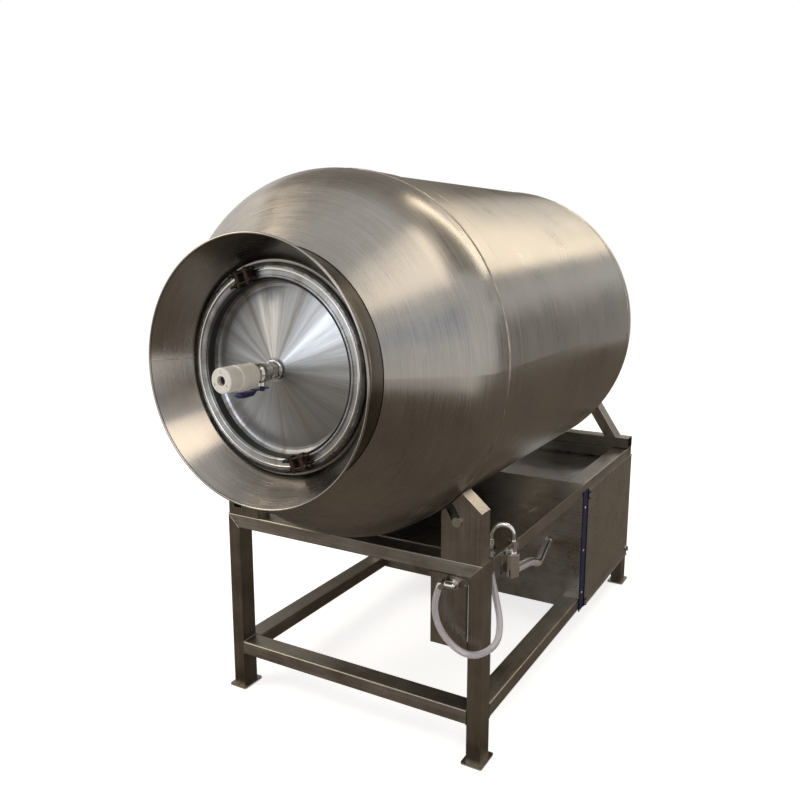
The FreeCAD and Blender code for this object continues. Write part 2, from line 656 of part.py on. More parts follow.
def lid():
    f = LID_FACE_Y
    b = LID_BACK_Y
    floor_y = f + LID_RECESS
    apex_y = floor_y - LID_APEX
    plate = turned([
        (LID_FLANGE_R, b), (LID_FLANGE_R, f), (212, f), (206, f + 6), (202, floor_y - 2), (196, floor_y),
        (LID_FLOOR_R, floor_y), (LID_BOSS_R, apex_y), (NIPPLE_R, apex_y), (NIPPLE_R, apex_y + LID_T),
        (LID_BOSS_R, apex_y + LID_T), (LID_FLOOR_R, floor_y + LID_T), (198, floor_y + LID_T),
        (205, floor_y), (209, f + 8), (214, b),
    ])
    hoop = turned_ring(LID_HOOP_R, f, 3.5)
    export("lid_plate", fuse([plate, hoop]))
    gasket = turned([
        (NECK_IN_R + 1, GASKET_Y0), (NECK_SEAT_R - 1, GASKET_Y0), (NECK_SEAT_R - 1, b), (NECK_IN_R + 1, b),
    ])
    export("lid_gasket", gasket)
    ring = turned([
        (CLAMP_LIP_R, f), (CLAMP_LIP_R, CLAMP_FACE_Y), (CLAMP_R - 2, CLAMP_FACE_Y), (CLAMP_R, CLAMP_FACE_Y + 2),
        (CLAMP_R, MOUTH_Y - 1), (CLAMP_R - CLAMP_T, MOUTH_Y - 1), (CLAMP_R - CLAMP_T, f),
    ])
    lugs = []
    bolts = []
    for k in range(2):
        lug_y = CLAMP_FACE_Y - LUG_H
        y_foot = CLAMP_FACE_Y - 1.0
        lug = box(LUG_R0, LUG_R1, lug_y, y_foot, -LUG_L / 2, LUG_L / 2)
        corners = [e for e in lug.Edges if abs(e.Vertexes[1].Point.y - e.Vertexes[0].Point.y) > 1]
        lug = lug.makeFillet(6.0, corners)
        foot = box(CLAMP_LIP_R + 1, LUG_R1 - 1, y_foot, CLAMP_FACE_Y, -LUG_L / 2 + 6, LUG_L / 2 - 6)
        lug = lug.fuse(foot)
        bolt_y = lug_y + LUG_H / 2.0 - 0.5
        for r in (LUG_R0 + 15, LUG_R1 - 15):
            start = vec(r, bolt_y, -CLAMP_BOLT_L / 2)
            hole = rod(vec(r, bolt_y, -LUG_L), AXIS_Z, CLAMP_BOLT_R, 2 * LUG_L)
            lug = lug.cut(hole)
            shank = rod(start, AXIS_Z, CLAMP_BOLT_R, CLAMP_BOLT_L)
            head = hex_bar(vec(r, bolt_y, LUG_L / 2), AXIS_Z, 13.0, 6.0)
            nut = hex_bar(vec(r, bolt_y, -LUG_L / 2 - 7), AXIS_Z, 13.0, 7.0)
            end = box(r - 9, r + 9, bolt_y - 9, bolt_y + 9, LUG_L / 2 + 6, LUG_L)
            bolts.append(fuse([shank, head, nut]).cut(end))
            bolts[-1].rotate(vec(0, 0, 0), AXIS_Y, -CLAMP_ANGLE + 180.0 * k)
        lug.rotate(vec(0, 0, 0), AXIS_Y, -CLAMP_ANGLE + 180.0 * k)
        lugs.append(lug)
    for shape in lugs + bolts:
        shape.translate(DRUM_AXIS)
    split = box(-400, 400, -1100, -900, -CLAMP_SPLIT / 2, CLAMP_SPLIT / 2)
    split.rotate(vec(0, 0, 0), AXIS_Y, -CLAMP_ANGLE)
    split.translate(DRUM_AXIS)
    halves = ring.fuse(lugs[0]).fuse(lugs[1]).cut(split)
    export("clamp_ring", Part.makeCompound(halves.Solids))
    export("clamp_bolts", Part.makeCompound(bolts))
    print("clamp solids", len(halves.Solids))


def y_rod(y_back, y_front, radius):
    return rod(vec(0, y_back, DRUM_Z), vec(0, -1, 0), radius, y_back - y_front)


def valve():
    """Ball valve on the lid's centre, its lever below it, and the rotary hose coupling in front."""
    apex_y = LID_FACE_Y + LID_RECESS - LID_APEX
    forward = vec(0, -1, 0)
    nipple = y_rod(apex_y + LID_T + 2, VALVE_Y0, NIPPLE_R)
    union = hex_bar(vec(0, apex_y, DRUM_Z), forward, 36.0, 11.0)
    mid = (VALVE_Y0 + VALVE_Y1) / 2.0
    ends = [
        hex_bar(vec(0, VALVE_Y0, DRUM_Z), forward, 36.0, 13.0),
        hex_bar(vec(0, VALVE_Y1 + 13, DRUM_Z), forward, 36.0, 13.0),
    ]
    ball = turned([
        (0, mid + 22), (17, mid + 22), (21.5, mid + 14), (23, mid + 6), (23, mid - 6), (21.5, mid - 14),
        (17, mid - 22), (0, mid - 22),
    ])
    boss = rod(vec(0, mid, DRUM_Z - 12), vec(0, 0, -1), 9.0, 18.0)
    body = fuse([nipple, union, ball, boss] + ends)
    body = body.cut(y_rod(apex_y + 20, VALVE_Y1 - 5, VALVE_BORE_R))
    stem_r = 5.0
    body = body.cut(rod(vec(0, mid, DRUM_Z), vec(0, 0, -1), stem_r + RUN_FIT, 40))
    export("valve_body", body)
    lever_z = DRUM_Z - 37.0
    stem = rod(vec(0, mid, lever_z + 3), AXIS_Z, stem_r, 21.0)
    flat = [
        vec(-9, mid + 9, lever_z), vec(-9, mid - 30, lever_z), vec(-9, mid - 42, lever_z - 9),
        vec(-9, mid - 74, lever_z - 9), vec(-9, mid - 74, lever_z - 6), vec(-9, mid - 41, lever_z - 6),
        vec(-9, mid - 29, lever_z + 3), vec(-9, mid + 9, lever_z + 3),
    ]
    bar = prism(flat, vec(18, 0, 0))
    tip = rod(vec(0, mid - 74, lever_z - 9), AXIS_Z, 9.0, 3.0)
    tail = rod(vec(0, mid + 9, lever_z), AXIS_Z, 9.0, 3.0)
    nut = hex_bar(vec(0, mid, lever_z), vec(0, 0, -1), 10.0, 5.0)
    export("valve_lever", fuse([bar, tip, tail, stem, nut]))
    y_step = COUPLING_STEP_Y
    body = turned([
        (VALVE_BORE_R, VALVE_Y1), (COUPLING_BACK_R - 2, VALVE_Y1), (COUPLING_BACK_R, VALVE_Y1 - 2),
        (COUPLING_BACK_R, y_step), (14 + RUN_FIT, y_step), (14 + RUN_FIT, y_step + 16), (VALVE_BORE_R, y_step + 16),
    ])
    export("coupling_body", body)
    r = COUPLING_FACE_R
    tip_y = COUPLING_TIP_Y
    nose = turned([
        (VALVE_BORE_R, y_step + 15.5), (14, y_step + 15.5), (14, y_step - 0.5), (r - 1, y_step - 0.5),
        (r, y_step - 1.5), (r, y_step - 20), (r - 2, y_step - 22), (r - 2, y_step - 26), (r, y_step - 28),
        (r, tip_y + 2), (r - 2, tip_y), (11, tip_y), (11, tip_y + 14), (VALVE_BORE_R, tip_y + 18),
    ])
    for i in range(3):
        a = math.radians(90 + 120 * i)
        spot = vec(19.5 * math.cos(a), tip_y, DRUM_Z + 19.5 * math.sin(a))
        nose = nose.cut(rod(spot, AXIS_Y, 3.2, 3.0))
        nose = nose.fuse(rod(spot + vec(0, 1, 0), AXIS_Y, 2.6, 2.5))
    export("coupling_nose", nose.removeSplitter())


def drive():
    """A-frame of two leaning tubes on a base tube, head plate, flanged bearing, gearbox and motor."""
    y0 = HALF_L - TUBE_BIG
    base_top = TOP_Z + BASE_TUBE_H
    base = rect_tube(-HALF_W, HALF_W, y0, HALF_L, TOP_Z, base_top, AXIS_X)
    export("rear_base_tube", base)
    length = 900.0
    upright = rect_tube(-TUBE_SMALL / 2, TUBE_SMALL / 2, y0, HALF_L, -200, length, AXIS_Z)
    upright.rotate(vec(0, 0, 0), AXIS_Y, -LEAN_DEG)
    foot_x = UPRIGHT_FOOT_X - TUBE_SMALL / math.cos(math.radians(LEAN_DEG)) / 2
    upright.translate(vec(foot_x, 0, base_top))
    keep = box(0.2, HALF_W, y0 - 1, HALF_L + 1, base_top, DRUM_Z + 105)
    upright = upright.common(keep)
    export("upright_right", upright)
    export("upright_left", mirror_x(upright))
    half = [(150, DRUM_Z - 150), (165, DRUM_Z - 130), (75, DRUM_Z + 90), (60, DRUM_Z + 100)]
    points = half + [(-x, z) for x, z in reversed(half)]
    plate = prism([vec(x, PLATE_Y0, z) for x, z in points], vec(0, PLATE_T, 0))
    plate = plate.cut(rod(vec(0, PLATE_Y0 - 1, DRUM_Z), AXIS_Y, SHAFT_R + 9, PLATE_T + 2))
    export("bearing_plate", plate)
    flange = box(-80, 80, BEARING_Y0, PLATE_Y0, DRUM_Z - 80, DRUM_Z + 80)
    edges = [e for e in flange.Edges if abs(e.Vertexes[1].Point.y - e.Vertexes[0].Point.y) > 1]
    flange = flange.makeFillet(24.0, edges)
    flange = flange.cut(rod(vec(0, BEARING_Y0 - 1, DRUM_Z), AXIS_Y, SHAFT_R + RUN_FIT, 60))
    bolts = []
    for x in (-58, 58):
        for z in (-58, 58):
            bolts.append(hex_bar(vec(x, PLATE_Y0 - BEARING_T, DRUM_Z + z), vec(0, -1, 0), 19.0, 8.0))
    export("bearing_block", fuse([flange] + bolts))
    w = GEARBOX_W / 2
    y1 = BEARING_Y0 - 8.5
    case = box(-w, w, GEARBOX_Y0, y1, WORM_Z - 60, DRUM_Z + 85)
    edges = [e for e in case.Edges if abs(e.Vertexes[1].Point.y - e.Vertexes[0].Point.y) > 1]
    case = case.makeFillet(30.0, edges)
    boss = rod(vec(0, GEARBOX_Y0 - 8, DRUM_Z), AXIS_Y, 58.0, BEARING_Y0 - GEARBOX_Y0 + 8)
    mount = rod(vec(-w - 12, GEARBOX_MID_Y, WORM_Z), AXIS_X, 58.0, 14.0)
    end_cap = rod(vec(w - 2, GEARBOX_MID_Y, WORM_Z), AXIS_X, 34.0, 12.0)
    ribs = []
    for i in range(5):
        z = WORM_Z + 10 + 30 * i
        ribs.append(box(w - 1, w + 7, GEARBOX_Y0 + 8, y1 - 8, z, z + 5))
    case = fuse([case, boss, mount, end_cap] + ribs)
    case = case.cut(rod(vec(0, GEARBOX_Y0 - 9, DRUM_Z), AXIS_Y, SHAFT_R + RUN_FIT, 200))
    export("gearbox", case)
    x_m = -w - 12
    body = rod(vec(x_m, GEARBOX_MID_Y, WORM_Z), vec(-1, 0, 0), MOTOR_R - 6, MOTOR_L - 50)
    flange = rod(vec(x_m, GEARBOX_MID_Y, WORM_Z), vec(-1, 0, 0), MOTOR_R, 12.0)
    fins = []
    for i in range(14):
        fin = box(x_m - MOTOR_L + 55, x_m - 12, GEARBOX_MID_Y - 1.5, GEARBOX_MID_Y + 1.5, WORM_Z + 50, WORM_Z + MOTOR_R)
        fin.rotate(vec(0, GEARBOX_MID_Y, WORM_Z), AXIS_X, 360.0 / 14 * i + 12)
        fins.append(fin)
    x_c = x_m - MOTOR_L + 58
    hood = tube(vec(x_c, GEARBOX_MID_Y, WORM_Z), vec(-1, 0, 0), MOTOR_R + 1, MOTOR_R - 1, 52.0)
    disc = rod(vec(x_c - 52, GEARBOX_MID_Y, WORM_Z), vec(-1, 0, 0), MOTOR_R + 1, 2.0)
    for i in range(12):
        slot = box(x_c - 60, x_c - 50, GEARBOX_MID_Y - 3, GEARBOX_MID_Y + 3, WORM_Z + 22, WORM_Z + 56)
        slot.rotate(vec(0, GEARBOX_MID_Y, WORM_Z), AXIS_X, 30.0 * i)
        disc = disc.cut(slot)
    term = box(x_m - 120, x_m - 40, GEARBOX_MID_Y - 40, GEARBOX_MID_Y + 40, WORM_Z - 92, WORM_Z - 40)
    motor = body
    for piece in [flange] + fins + [hood, disc, term]:
        motor = motor.fuse(piece)
    x_b = x_m - (MOTOR_L - 50)
    motor = motor.cut(rod(vec(x_b - 1, GEARBOX_MID_Y, WORM_Z), AXIS_X, 8.0 + RUN_FIT, 40))
    export("drive_motor", motor.removeSplitter())
    hub = rod(vec(x_b - 8, GEARBOX_MID_Y, WORM_Z), vec(-1, 0, 0), 18.0, 24.0)
    shaft = rod(vec(x_b + 30, GEARBOX_MID_Y, WORM_Z), vec(-1, 0, 0), 8.0, 45.0)
    fan = hub.fuse(shaft)
    for i in range(7):
        blade = box(x_b - 30, x_b - 10, GEARBOX_MID_Y - 1.5, GEARBOX_MID_Y + 1.5, WORM_Z + 10, WORM_Z + FAN_R)
        blade.rotate(vec(0, GEARBOX_MID_Y, WORM_Z), AXIS_X, 360.0 / 7 * i)
        fan = fan.fuse(blade)
    export("motor_fan", fan.removeSplitter())


def pump():
    """Rotary vane pump with its motor on the cabinet floor."""
    z0 = LOW_Z + 10 + SHEET
    y = 380.0
    z = z0 + 110
    feet = [box(-150, 170, y + s - 15, y + s + 15, z0, z0 + 8) for s in (-70, 70)]
    tank = box(30, 190, y - 85, y + 85, z0 + 8, z0 + 200)
    edges = [e for e in tank.Edges if abs(e.Vertexes[1].Point.x - e.Vertexes[0].Point.x) > 1]
    tank = tank.makeFillet(28.0, edges)
    motor = rod(vec(30, y, z), vec(-1, 0, 0), 70.0, 190.0)
    saddle = box(-140, -20, y - 60, y + 60, z0 + 8, z - 20)
    inlet = rod(vec(110, y, z0 + 199), AXIS_Z, 16.0, 26.0)
    ribs = [tube(vec(-40 - 22 * i, y, z), vec(-1, 0, 0), 74.0, 60.0, 6.0) for i in range(6)]
    export("vacuum_pump", fuse(feet + [tank, motor, saddle, inlet] + ribs))


BOX_X0 = 265.0
BOX_X1 = 370.0
BOX_Z0 = 316.0
BOX_DEPTH = 42.0


def hose_box():
    """Folded sheet bracket under the front rail with a drip rod on its face."""
    y0 = -HALF_L
    z1 = TOP_Z - TUBE_SMALL
    face = box(BOX_X0, BOX_X1, y0, y0 + SHEET, BOX_Z0, z1)
    side = box(BOX_X0, BOX_X0 + SHEET, y0, y0 + BOX_DEPTH, BOX_Z0, z1)
    top = box(BOX_X0, BOX_X1, y0, y0 + BOX_DEPTH, z1 - SHEET, z1)
    floor = box(BOX_X0, BOX_X1, y0, y0 + BOX_DEPTH, BOX_Z0, BOX_Z0 + SHEET)
    x = BOX_X1 - 4.0
    stem = rod(vec(x, y0 - 7, 357), AXIS_Z, 2.2, 136)
    knobs = []
    for z in (360, 486):
        knobs.append(rod(vec(x, y0 - 7, z - 8), AXIS_Z, 4.5, 16))
        knobs.append(rod(vec(x, y0, z), vec(0, -1, 0), 3.5, 7))
    export("hose_box", fuse([face, side, top, floor, stem] + knobs))
    start = vec(334, y0, 489)
    nut = hex_bar(start, vec(0, -1, 0), 28.0, 8.0)
    neck = rod(vec(334, y0 - 8, 489), vec(0, -1, 0), 10.0, 8.0)
    turn = Part.makeSphere(10.0, vec(334, y0 - 16, 489))
    arm = rod(vec(334, y0 - 16, 489), vec(-1, 0, 0), 10.0, 18.0)
    ring = hex_bar(vec(316, y0 - 16, 489), vec(-1, 0, 0), 24.0, 9.0)
    heading = vec(*SUCTION_ROUTE[1]) - vec(*SUCTION_ROUTE[0])
    heading.normalize()
    outlet = vec(*SUCTION_ROUTE[0])
    bend = Part.makeSphere(9.5, outlet - heading * 10)
    barb = rod(outlet - heading * 10, heading, 9.5, 10.0)
    link = rod(vec(308, y0 - 16, 489), vec(-1, 0, 0), 9.5, 6.0)
    export("hose_elbow", fuse([nut, neck, turn, arm, ring, link, bend, barb]))


def line_fittings():
    """Bent pipe over the rail, filter bowl outside it, and the union in the cabinet's front panel."""
    hose_end = vec(*SUCTION_ROUTE[-1])
    x, y = FILTER
    rise = 24.0
    left = hose_end + vec(0, 0, rise)
    right = vec(x, y, left.z)
    reach = (right - left).Length / 2.0
    crown = (left + right) * 0.5 + vec(0, 0, reach)
    drop = left.z - FILTER_Z1 - 4
    path = Part.Wire([
        Part.LineSegment(hose_end, left).toShape(),
        Part.Arc(left, crown, right).toShape(),
        Part.LineSegment(right, right - vec(0, 0, drop)).toShape(),
    ])
    ring = Part.Wire([Part.Circle(hose_end, AXIS_Z, 7.0).toShape()])
    pipe = path.makePipeShell([ring], True, False)
    socket = rod(hose_end, AXIS_Z, 10.0, 14.0)
    nut = hex_bar(vec(x, y, FILTER_Z1 + 16), AXIS_Z, 24.0, 16.0)
    seat = rod(vec(x, y, FILTER_Z1), AXIS_Z, 10.0, 17.0)
    export("rail_coupling", fuse([pipe, socket, nut, seat]))
    bowl = rod(vec(x, y, FILTER_Z0), AXIS_Z, FILTER_R, FILTER_Z1 - FILTER_Z0)
    cap = rod(vec(x, y, FILTER_Z1 - 16), AXIS_Z, FILTER_R + 0.8, 12.0)
    drain = rod(vec(x, y, FILTER_Z0 - 7), AXIS_Z, 5.0, 8.0)
    plate = box(HALF_W, HALF_W + 3, y - 38, y + 6, TOP_Z - 60, TOP_Z - 4)
    block = box(HALF_W, x, y - 36, y - 12, TOP_Z - 52, TOP_Z - 8)
    spout = vec(*PUMP_ROUTE[0])
    heading = vec(*PUMP_ROUTE[1]) - spout
    heading.normalize()
    side = rod(spout - heading * 10, heading, PUMP_HOSE_R, 10.0)
    export("filter_block", fuse([bowl, cap, drain, plate, block, side]))
    end = vec(*PUMP_ROUTE[-1])
    heading = end - vec(*PUMP_ROUTE[-2])
    heading.normalize()
    x, y, z = BULKHEAD
    stub = rod(end, heading, PUMP_HOSE_R, (vec(x, y - 6, z) - end).Length)
    nut = hex_bar(vec(x, y, z), vec(0, -1, 0), 32.0, 9.0)
    thread = rod(vec(x, y - 2, z), AXIS_Y, BULKHEAD_R, SHEET + 16)
    inner = hex_bar(vec(x, y + SHEET, z), AXIS_Y, 30.0, 7.0)
    export("bulkhead_fitting", fuse([stub, nut, thread, inner]))


def build():
    os.makedirs("parts", exist_ok=True)
    frame_tubes()
    deck()
    cabinet()
    side_door()
    roller_housings()
    export("roller_left", roller(-1))
    export("roller_right", roller(1))
    drum()
    blades()
    neck_and_collar()
    lid()
    valve()
    drive()
    pump()
    hose_box()
    line_fittings()
    export("suction_hose", hose(SUCTION_ROUTE, SUCTION_HOSE_R, SUCTION_BORE_R, "suction hose"))
    export("pump_hose", hose(PUMP_ROUTE, PUMP_HOSE_R, PUMP_BORE_R, "pump hose"))


build()
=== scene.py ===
import math

import bpy
from bpy.props import FloatProperty, FloatVectorProperty, IntProperty, PointerProperty
from mathutils import Matrix, Vector


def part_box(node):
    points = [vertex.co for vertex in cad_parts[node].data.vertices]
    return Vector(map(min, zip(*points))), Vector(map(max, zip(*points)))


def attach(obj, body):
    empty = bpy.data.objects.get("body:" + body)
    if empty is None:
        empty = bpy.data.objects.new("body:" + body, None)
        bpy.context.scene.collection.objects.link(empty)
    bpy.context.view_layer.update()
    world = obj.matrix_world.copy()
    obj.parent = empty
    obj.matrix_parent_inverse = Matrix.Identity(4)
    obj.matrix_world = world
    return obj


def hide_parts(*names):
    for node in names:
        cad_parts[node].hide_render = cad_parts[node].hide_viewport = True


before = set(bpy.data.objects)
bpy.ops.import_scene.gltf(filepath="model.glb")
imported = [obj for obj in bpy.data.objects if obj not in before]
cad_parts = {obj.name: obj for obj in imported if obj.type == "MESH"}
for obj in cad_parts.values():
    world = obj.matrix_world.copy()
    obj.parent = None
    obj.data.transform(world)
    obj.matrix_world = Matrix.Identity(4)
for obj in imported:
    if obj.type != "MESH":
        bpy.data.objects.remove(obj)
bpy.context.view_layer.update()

bl_info = {
    "name": "Vacuum tumbler",
    "version": (1, 0, 0),
    "blender": (4, 5, 0),
    "location": "View3D > Sidebar > Tumbler",
    "description": "Finishes the packed vacuum tumbler: welds, hoses, fasteners, surfaces and studio",
    "category": "Object",
}

MM = 0.001

# Where things are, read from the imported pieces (metres)
SHELL_LOW, SHELL_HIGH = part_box("drum_cylinder")
BAND_LOW, BAND_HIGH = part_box("track_band")
HEAD_LOW, HEAD_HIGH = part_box("front_head")
COLLAR_LOW, COLLAR_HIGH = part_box("splash_collar")
LID_LOW, LID_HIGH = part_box("lid_plate")
AXIS_Z = (BAND_LOW.z + BAND_HIGH.z) / 2
SHELL_R = (SHELL_HIGH.x - SHELL_LOW.x) / 2
BAND_R = (BAND_HIGH.x - BAND_LOW.x) / 2
DRUM_CENTRE = Vector((0, 0, AXIS_Z))

# The clamp: a round bar proud of a bright lip, and a channel wall set back behind the lip, coloured near black as
# painted shade in the gap round the bar.
# Its lugs stand in two pairs across the drum, the first pair a little left of the top.
BAR_R = 0.2205
BAR_SECTION = 0.0072
BAR_GAP = 0.016
LIP_R = 0.2265
WALL_R = 0.2335
CHANNEL_R = 0.245
WALL_SET_BACK = 0.003
CHANNEL_EDGE = 0.0015
CLAMP_ANGLE = 109.0
LUG_BLOCK = 0.021
LUG_SIZE = (0.042, 0.012, 0.022)
LUG_APART = 0.0145
BOLT_R = 0.0036
BOLT_LENGTH = 0.078
BOLT_APART = 0.012
BOLT_HEIGHT = 0.0165
NUT_R = 0.0075
THREAD_PITCH = 0.00125

# The collar: one flared sheet with a rolled rim, welded to the head at its root
COLLAR_ROOT_R = 0.252
COLLAR_SHEET = 0.0025
RIM_SECTION = 0.003
RIM_REACH = 0.0032

# The frame's tube across its narrow side
TUBE_SIDE = 0.040

# The hoses' black stripe and its half width as shares of the way round, and the net's threads
STRIPE_AT = 0.30
STRIPE_HALF = 0.045
THREAD_STEP = 0.005
THREADS_ROUND = 6.0

# The studio: where the camera stands and looks (metres and degrees)
EYE = (1.178, -2.2165, 1.331)
YAW = 30.0
PITCH = 10.93
FLOOR_SIDE = 30.0
FLOOR_GLOW = 0.74
# name, place, what it faces, width, height, power, colour
LAMPS = [
    ("lamp_key", (-3.0, -2.4, 3.4), (0.0, -0.4, 1.1), 1.8, 2.6, 72, "#ffeed6"),
    ("lamp_over", (0.9, 2.4, 3.6), (0.0, 0.4, 1.2), 0.6, 3.2, 44, "#fff0d8"),
    ("lamp_side", (2.6, -2.2, 4.6), (0.2, -0.3, 1.1), 1.4, 2.6, 36, "#ffeed8"),
    ("lamp_front", (-0.6, -4.6, 1.9), (0.0, -0.8, 1.0), 1.6, 1.4, 30, "#eaf0ff"),
]
# name, colour, lowest and highest corner of boards that only the metal sees, as its darker bands
BOARDS = [
    ("board_front", "#7a6f63", (-3.2, -6.0, 0.004), (3.6, -0.56, 0.004)),
    ("board_right", "#7a7064", (0.47, -0.56, 0.004), (6.0, 7.0, 0.004)),
    ("board_left", "#6f665b", (-5.0, -0.56, 0.004), (-0.47, 7.0, 0.004)),
    ("board_behind", "#6f665b", (-0.47, 1.05, 0.004), (0.47, 7.0, 0.004)),
    ("board_under", "#564d44", (-0.47, -0.56, 0.004), (0.47, 1.05, 0.004)),
    ("board_roof", "#a09a93", (-5.0, -1.2, 5.2), (5.0, 7.0, 5.2)),
    ("board_back_left", "#6f675f", (-8.0, 7.2, 0.0), (-1.7, 7.2, 5.2)),
    ("board_back_right", "#736c65", (2.1, 7.2, 0.0), (8.0, 7.2, 2.5)),
    ("board_back_high", "#8f8982", (0.4, 7.2, 3.3), (6.0, 7.2, 4.2)),
    ("window_side", "#bccbe8", (3.6, -3.4, 1.75), (3.6, -1.9, 2.75)),
]

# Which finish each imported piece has
PLAN = {
    "drum": ["drum_cylinder", "track_band", "rear_head", "mixing_blades", "neck_ring"],
    "mirror": ["cabinet_top_cover"],
    "dome": ["front_head"],
    "lid": ["lid_plate"],
    "collar": ["splash_collar"],
    "ring": ["clamp_ring", "drive_shaft"],
    "tube_X": ["rail_top_front", "rail_top_rear", "rail_low_front", "rail_low_rear", "rear_base_tube",
               "bearing_plate", "foot_plates"],
    "tube_Y": ["rail_top_left", "rail_top_right", "rail_low_left", "rail_low_right"],
    "tube_Z": ["leg_front_left", "leg_front_right", "leg_rear_left", "leg_rear_right",
               "upright_left", "upright_right"],
    "sheet_X": ["deck_sheet", "cabinet_front_panel", "cabinet_rear_panel",
                "cabinet_floor"],
    "sheet_Y": ["cabinet_left_panel", "side_door"],
    "sheet_Z": ["roller_housing_left", "roller_housing_right", "hose_box"],
    "bright": ["roller_axles", "hose_elbow", "door_latch", "bulkhead_fitting", "valve_body"],
    "chrome": ["rail_coupling", "filter_block"],
    "bolt": ["clamp_bolts"],
    "navy": ["door_post_strip"],
    "lever": ["valve_lever"],
    "nylon": ["coupling_body", "coupling_nose"],
    "tread": ["roller_left", "roller_right"],
    "rubber": ["lid_gasket"],
    "castings": ["gearbox", "drive_motor", "bearing_block", "vacuum_pump"],
    "fan": ["motor_fan"],
    "hose": ["suction_hose", "pump_hose"],
}

# The hose routes, as the part's own source gives them
SUCTION_ROUTE = [
    (0.2976, -0.4954, 0.4775), (0.284, -0.5005, 0.440), (0.300, -0.5055, 0.375), (0.350, -0.5085, 0.330),
    (0.404, -0.5065, 0.320), (0.447, -0.4685, 0.345), (0.436, -0.4205, 0.385), (0.404, -0.3845, 0.438),
    (0.374, -0.3555, 0.500), (0.374, -0.3555, 0.562),
]
PUMP_ROUTE = [
    (0.428, -0.3105, 0.489), (0.424, -0.2335, 0.474), (0.404, -0.1235, 0.440), (0.372, 0.0165, 0.376),
    (0.330, 0.1565, 0.346), (0.300, 0.2935, 0.337),
]


def linear(hex_code):
    """sRGB hex to the linear colour that a shader socket takes."""
    values = [int(hex_code[i:i + 2], 16) / 255 for i in (1, 3, 5)]
    return tuple(v / 12.92 if v <= 0.04045 else ((v + 0.055) / 1.055) ** 2.4 for v in values) + (1.0,)


def add(tree, kind, inputs=None, **settings):
    """Adds one node, sets its properties, and sets or links its inputs."""
    node = tree.nodes.new(kind)
    for key, value in settings.items():
        setattr(node, key, value)
    for key, value in (inputs or {}).items():
        if isinstance(value, bpy.types.NodeSocket):
            tree.links.new(value, node.inputs[key])
        else:
            node.inputs[key].default_value = value
    return node


def surface(name, hex_code, rough, metal=0.0, **sockets):
    """A new material with its principled shader, ready for patterns."""
    material = bpy.data.materials.new(name)
    material.use_nodes = True
    tree = material.node_tree
    tree.nodes.clear()
    shader = add(tree, "ShaderNodeBsdfPrincipled", {
        "Base Color": linear(hex_code), "Roughness": rough, "Metallic": metal,
    })
    for key, value in sockets.items():
        shader.inputs[key.replace("_", " ")].default_value = value
    add(tree, "ShaderNodeOutputMaterial", {"Surface": shader.outputs[0]})
    return material, tree, shader


def mix_rgb(tree, factor, low, high):
    node = add(tree, "ShaderNodeMix", data_type="RGBA")
    for index, value in ((0, factor), (6, low), (7, high)):
        if isinstance(value, bpy.types.NodeSocket):
            tree.links.new(value, node.inputs[index])
        else:
            node.inputs[index].default_value = value
    return node.outputs[2]


def noise(tree, vector, scale, detail=3.0, rough=0.55):
    return add(tree, "ShaderNodeTexNoise", {
        "Vector": vector, "Scale": scale, "Detail": detail, "Roughness": rough,
    }).outputs["Fac"]


def bump(tree, shader, height, depth_mm, strength=1.0):
    node = add(tree, "ShaderNodeBump", {"Height": height, "Distance": depth_mm * MM, "Strength": strength})
    tree.links.new(node.outputs[0], shader.inputs["Normal"])
    return node


def stretched(tree, along, across_mm, length_mm):
    """Object coordinates scaled so that a unit noise gives strokes of that width and length."""
    coords = add(tree, "ShaderNodeTexCoord").outputs["Object"]
    scale = [1 / (across_mm * MM)] * 3
    scale["XYZ".index(along)] = 1 / (length_mm * MM)
    return add(tree, "ShaderNodeMapping", {"Vector": coords, "Scale": scale}).outputs[0]


def round_axis(tree, across_mm, length_mm):
    """Stroke coordinates that run round the drum's axis, and the direction of the strokes."""
    coords = add(tree, "ShaderNodeTexCoord").outputs["Object"]
    local = add(tree, "ShaderNodeVectorMath", {0: coords, 1: -DRUM_CENTRE}, operation="ADD").outputs[0]
    part = add(tree, "ShaderNodeSeparateXYZ", {0: local})
    flat = add(tree, "ShaderNodeCombineXYZ", {0: part.outputs[0], 2: part.outputs[2]}).outputs[0]
    radius = add(tree, "ShaderNodeVectorMath", {0: flat}, operation="LENGTH").outputs["Value"]
    angle = add(tree, "ShaderNodeMath", {0: part.outputs[0], 1: part.outputs[2]},
                operation="ARCTAN2").outputs[0]
    turn = add(tree, "ShaderNodeMath", {0: angle, 1: 400 / length_mm}, operation="MULTIPLY").outputs[0]
    wide = add(tree, "ShaderNodeMath", {0: radius, 1: 1 / (across_mm * MM)}, operation="MULTIPLY").outputs[0]
    deep = add(tree, "ShaderNodeMath", {0: part.outputs[1], 1: 1 / (across_mm * MM)}, operation="MULTIPLY")
    vector = add(tree, "ShaderNodeCombineXYZ", {0: wide, 1: deep.outputs[0], 2: turn}).outputs[0]
    tangent = add(tree, "ShaderNodeVectorMath", {0: flat, 1: (0, 1, 0)},
                  operation="CROSS_PRODUCT").outputs[0]
    tangent = add(tree, "ShaderNodeVectorTransform", {0: tangent}, vector_type="VECTOR",
                  convert_from="OBJECT", convert_to="WORLD").outputs[0]
    return vector, tangent, coords


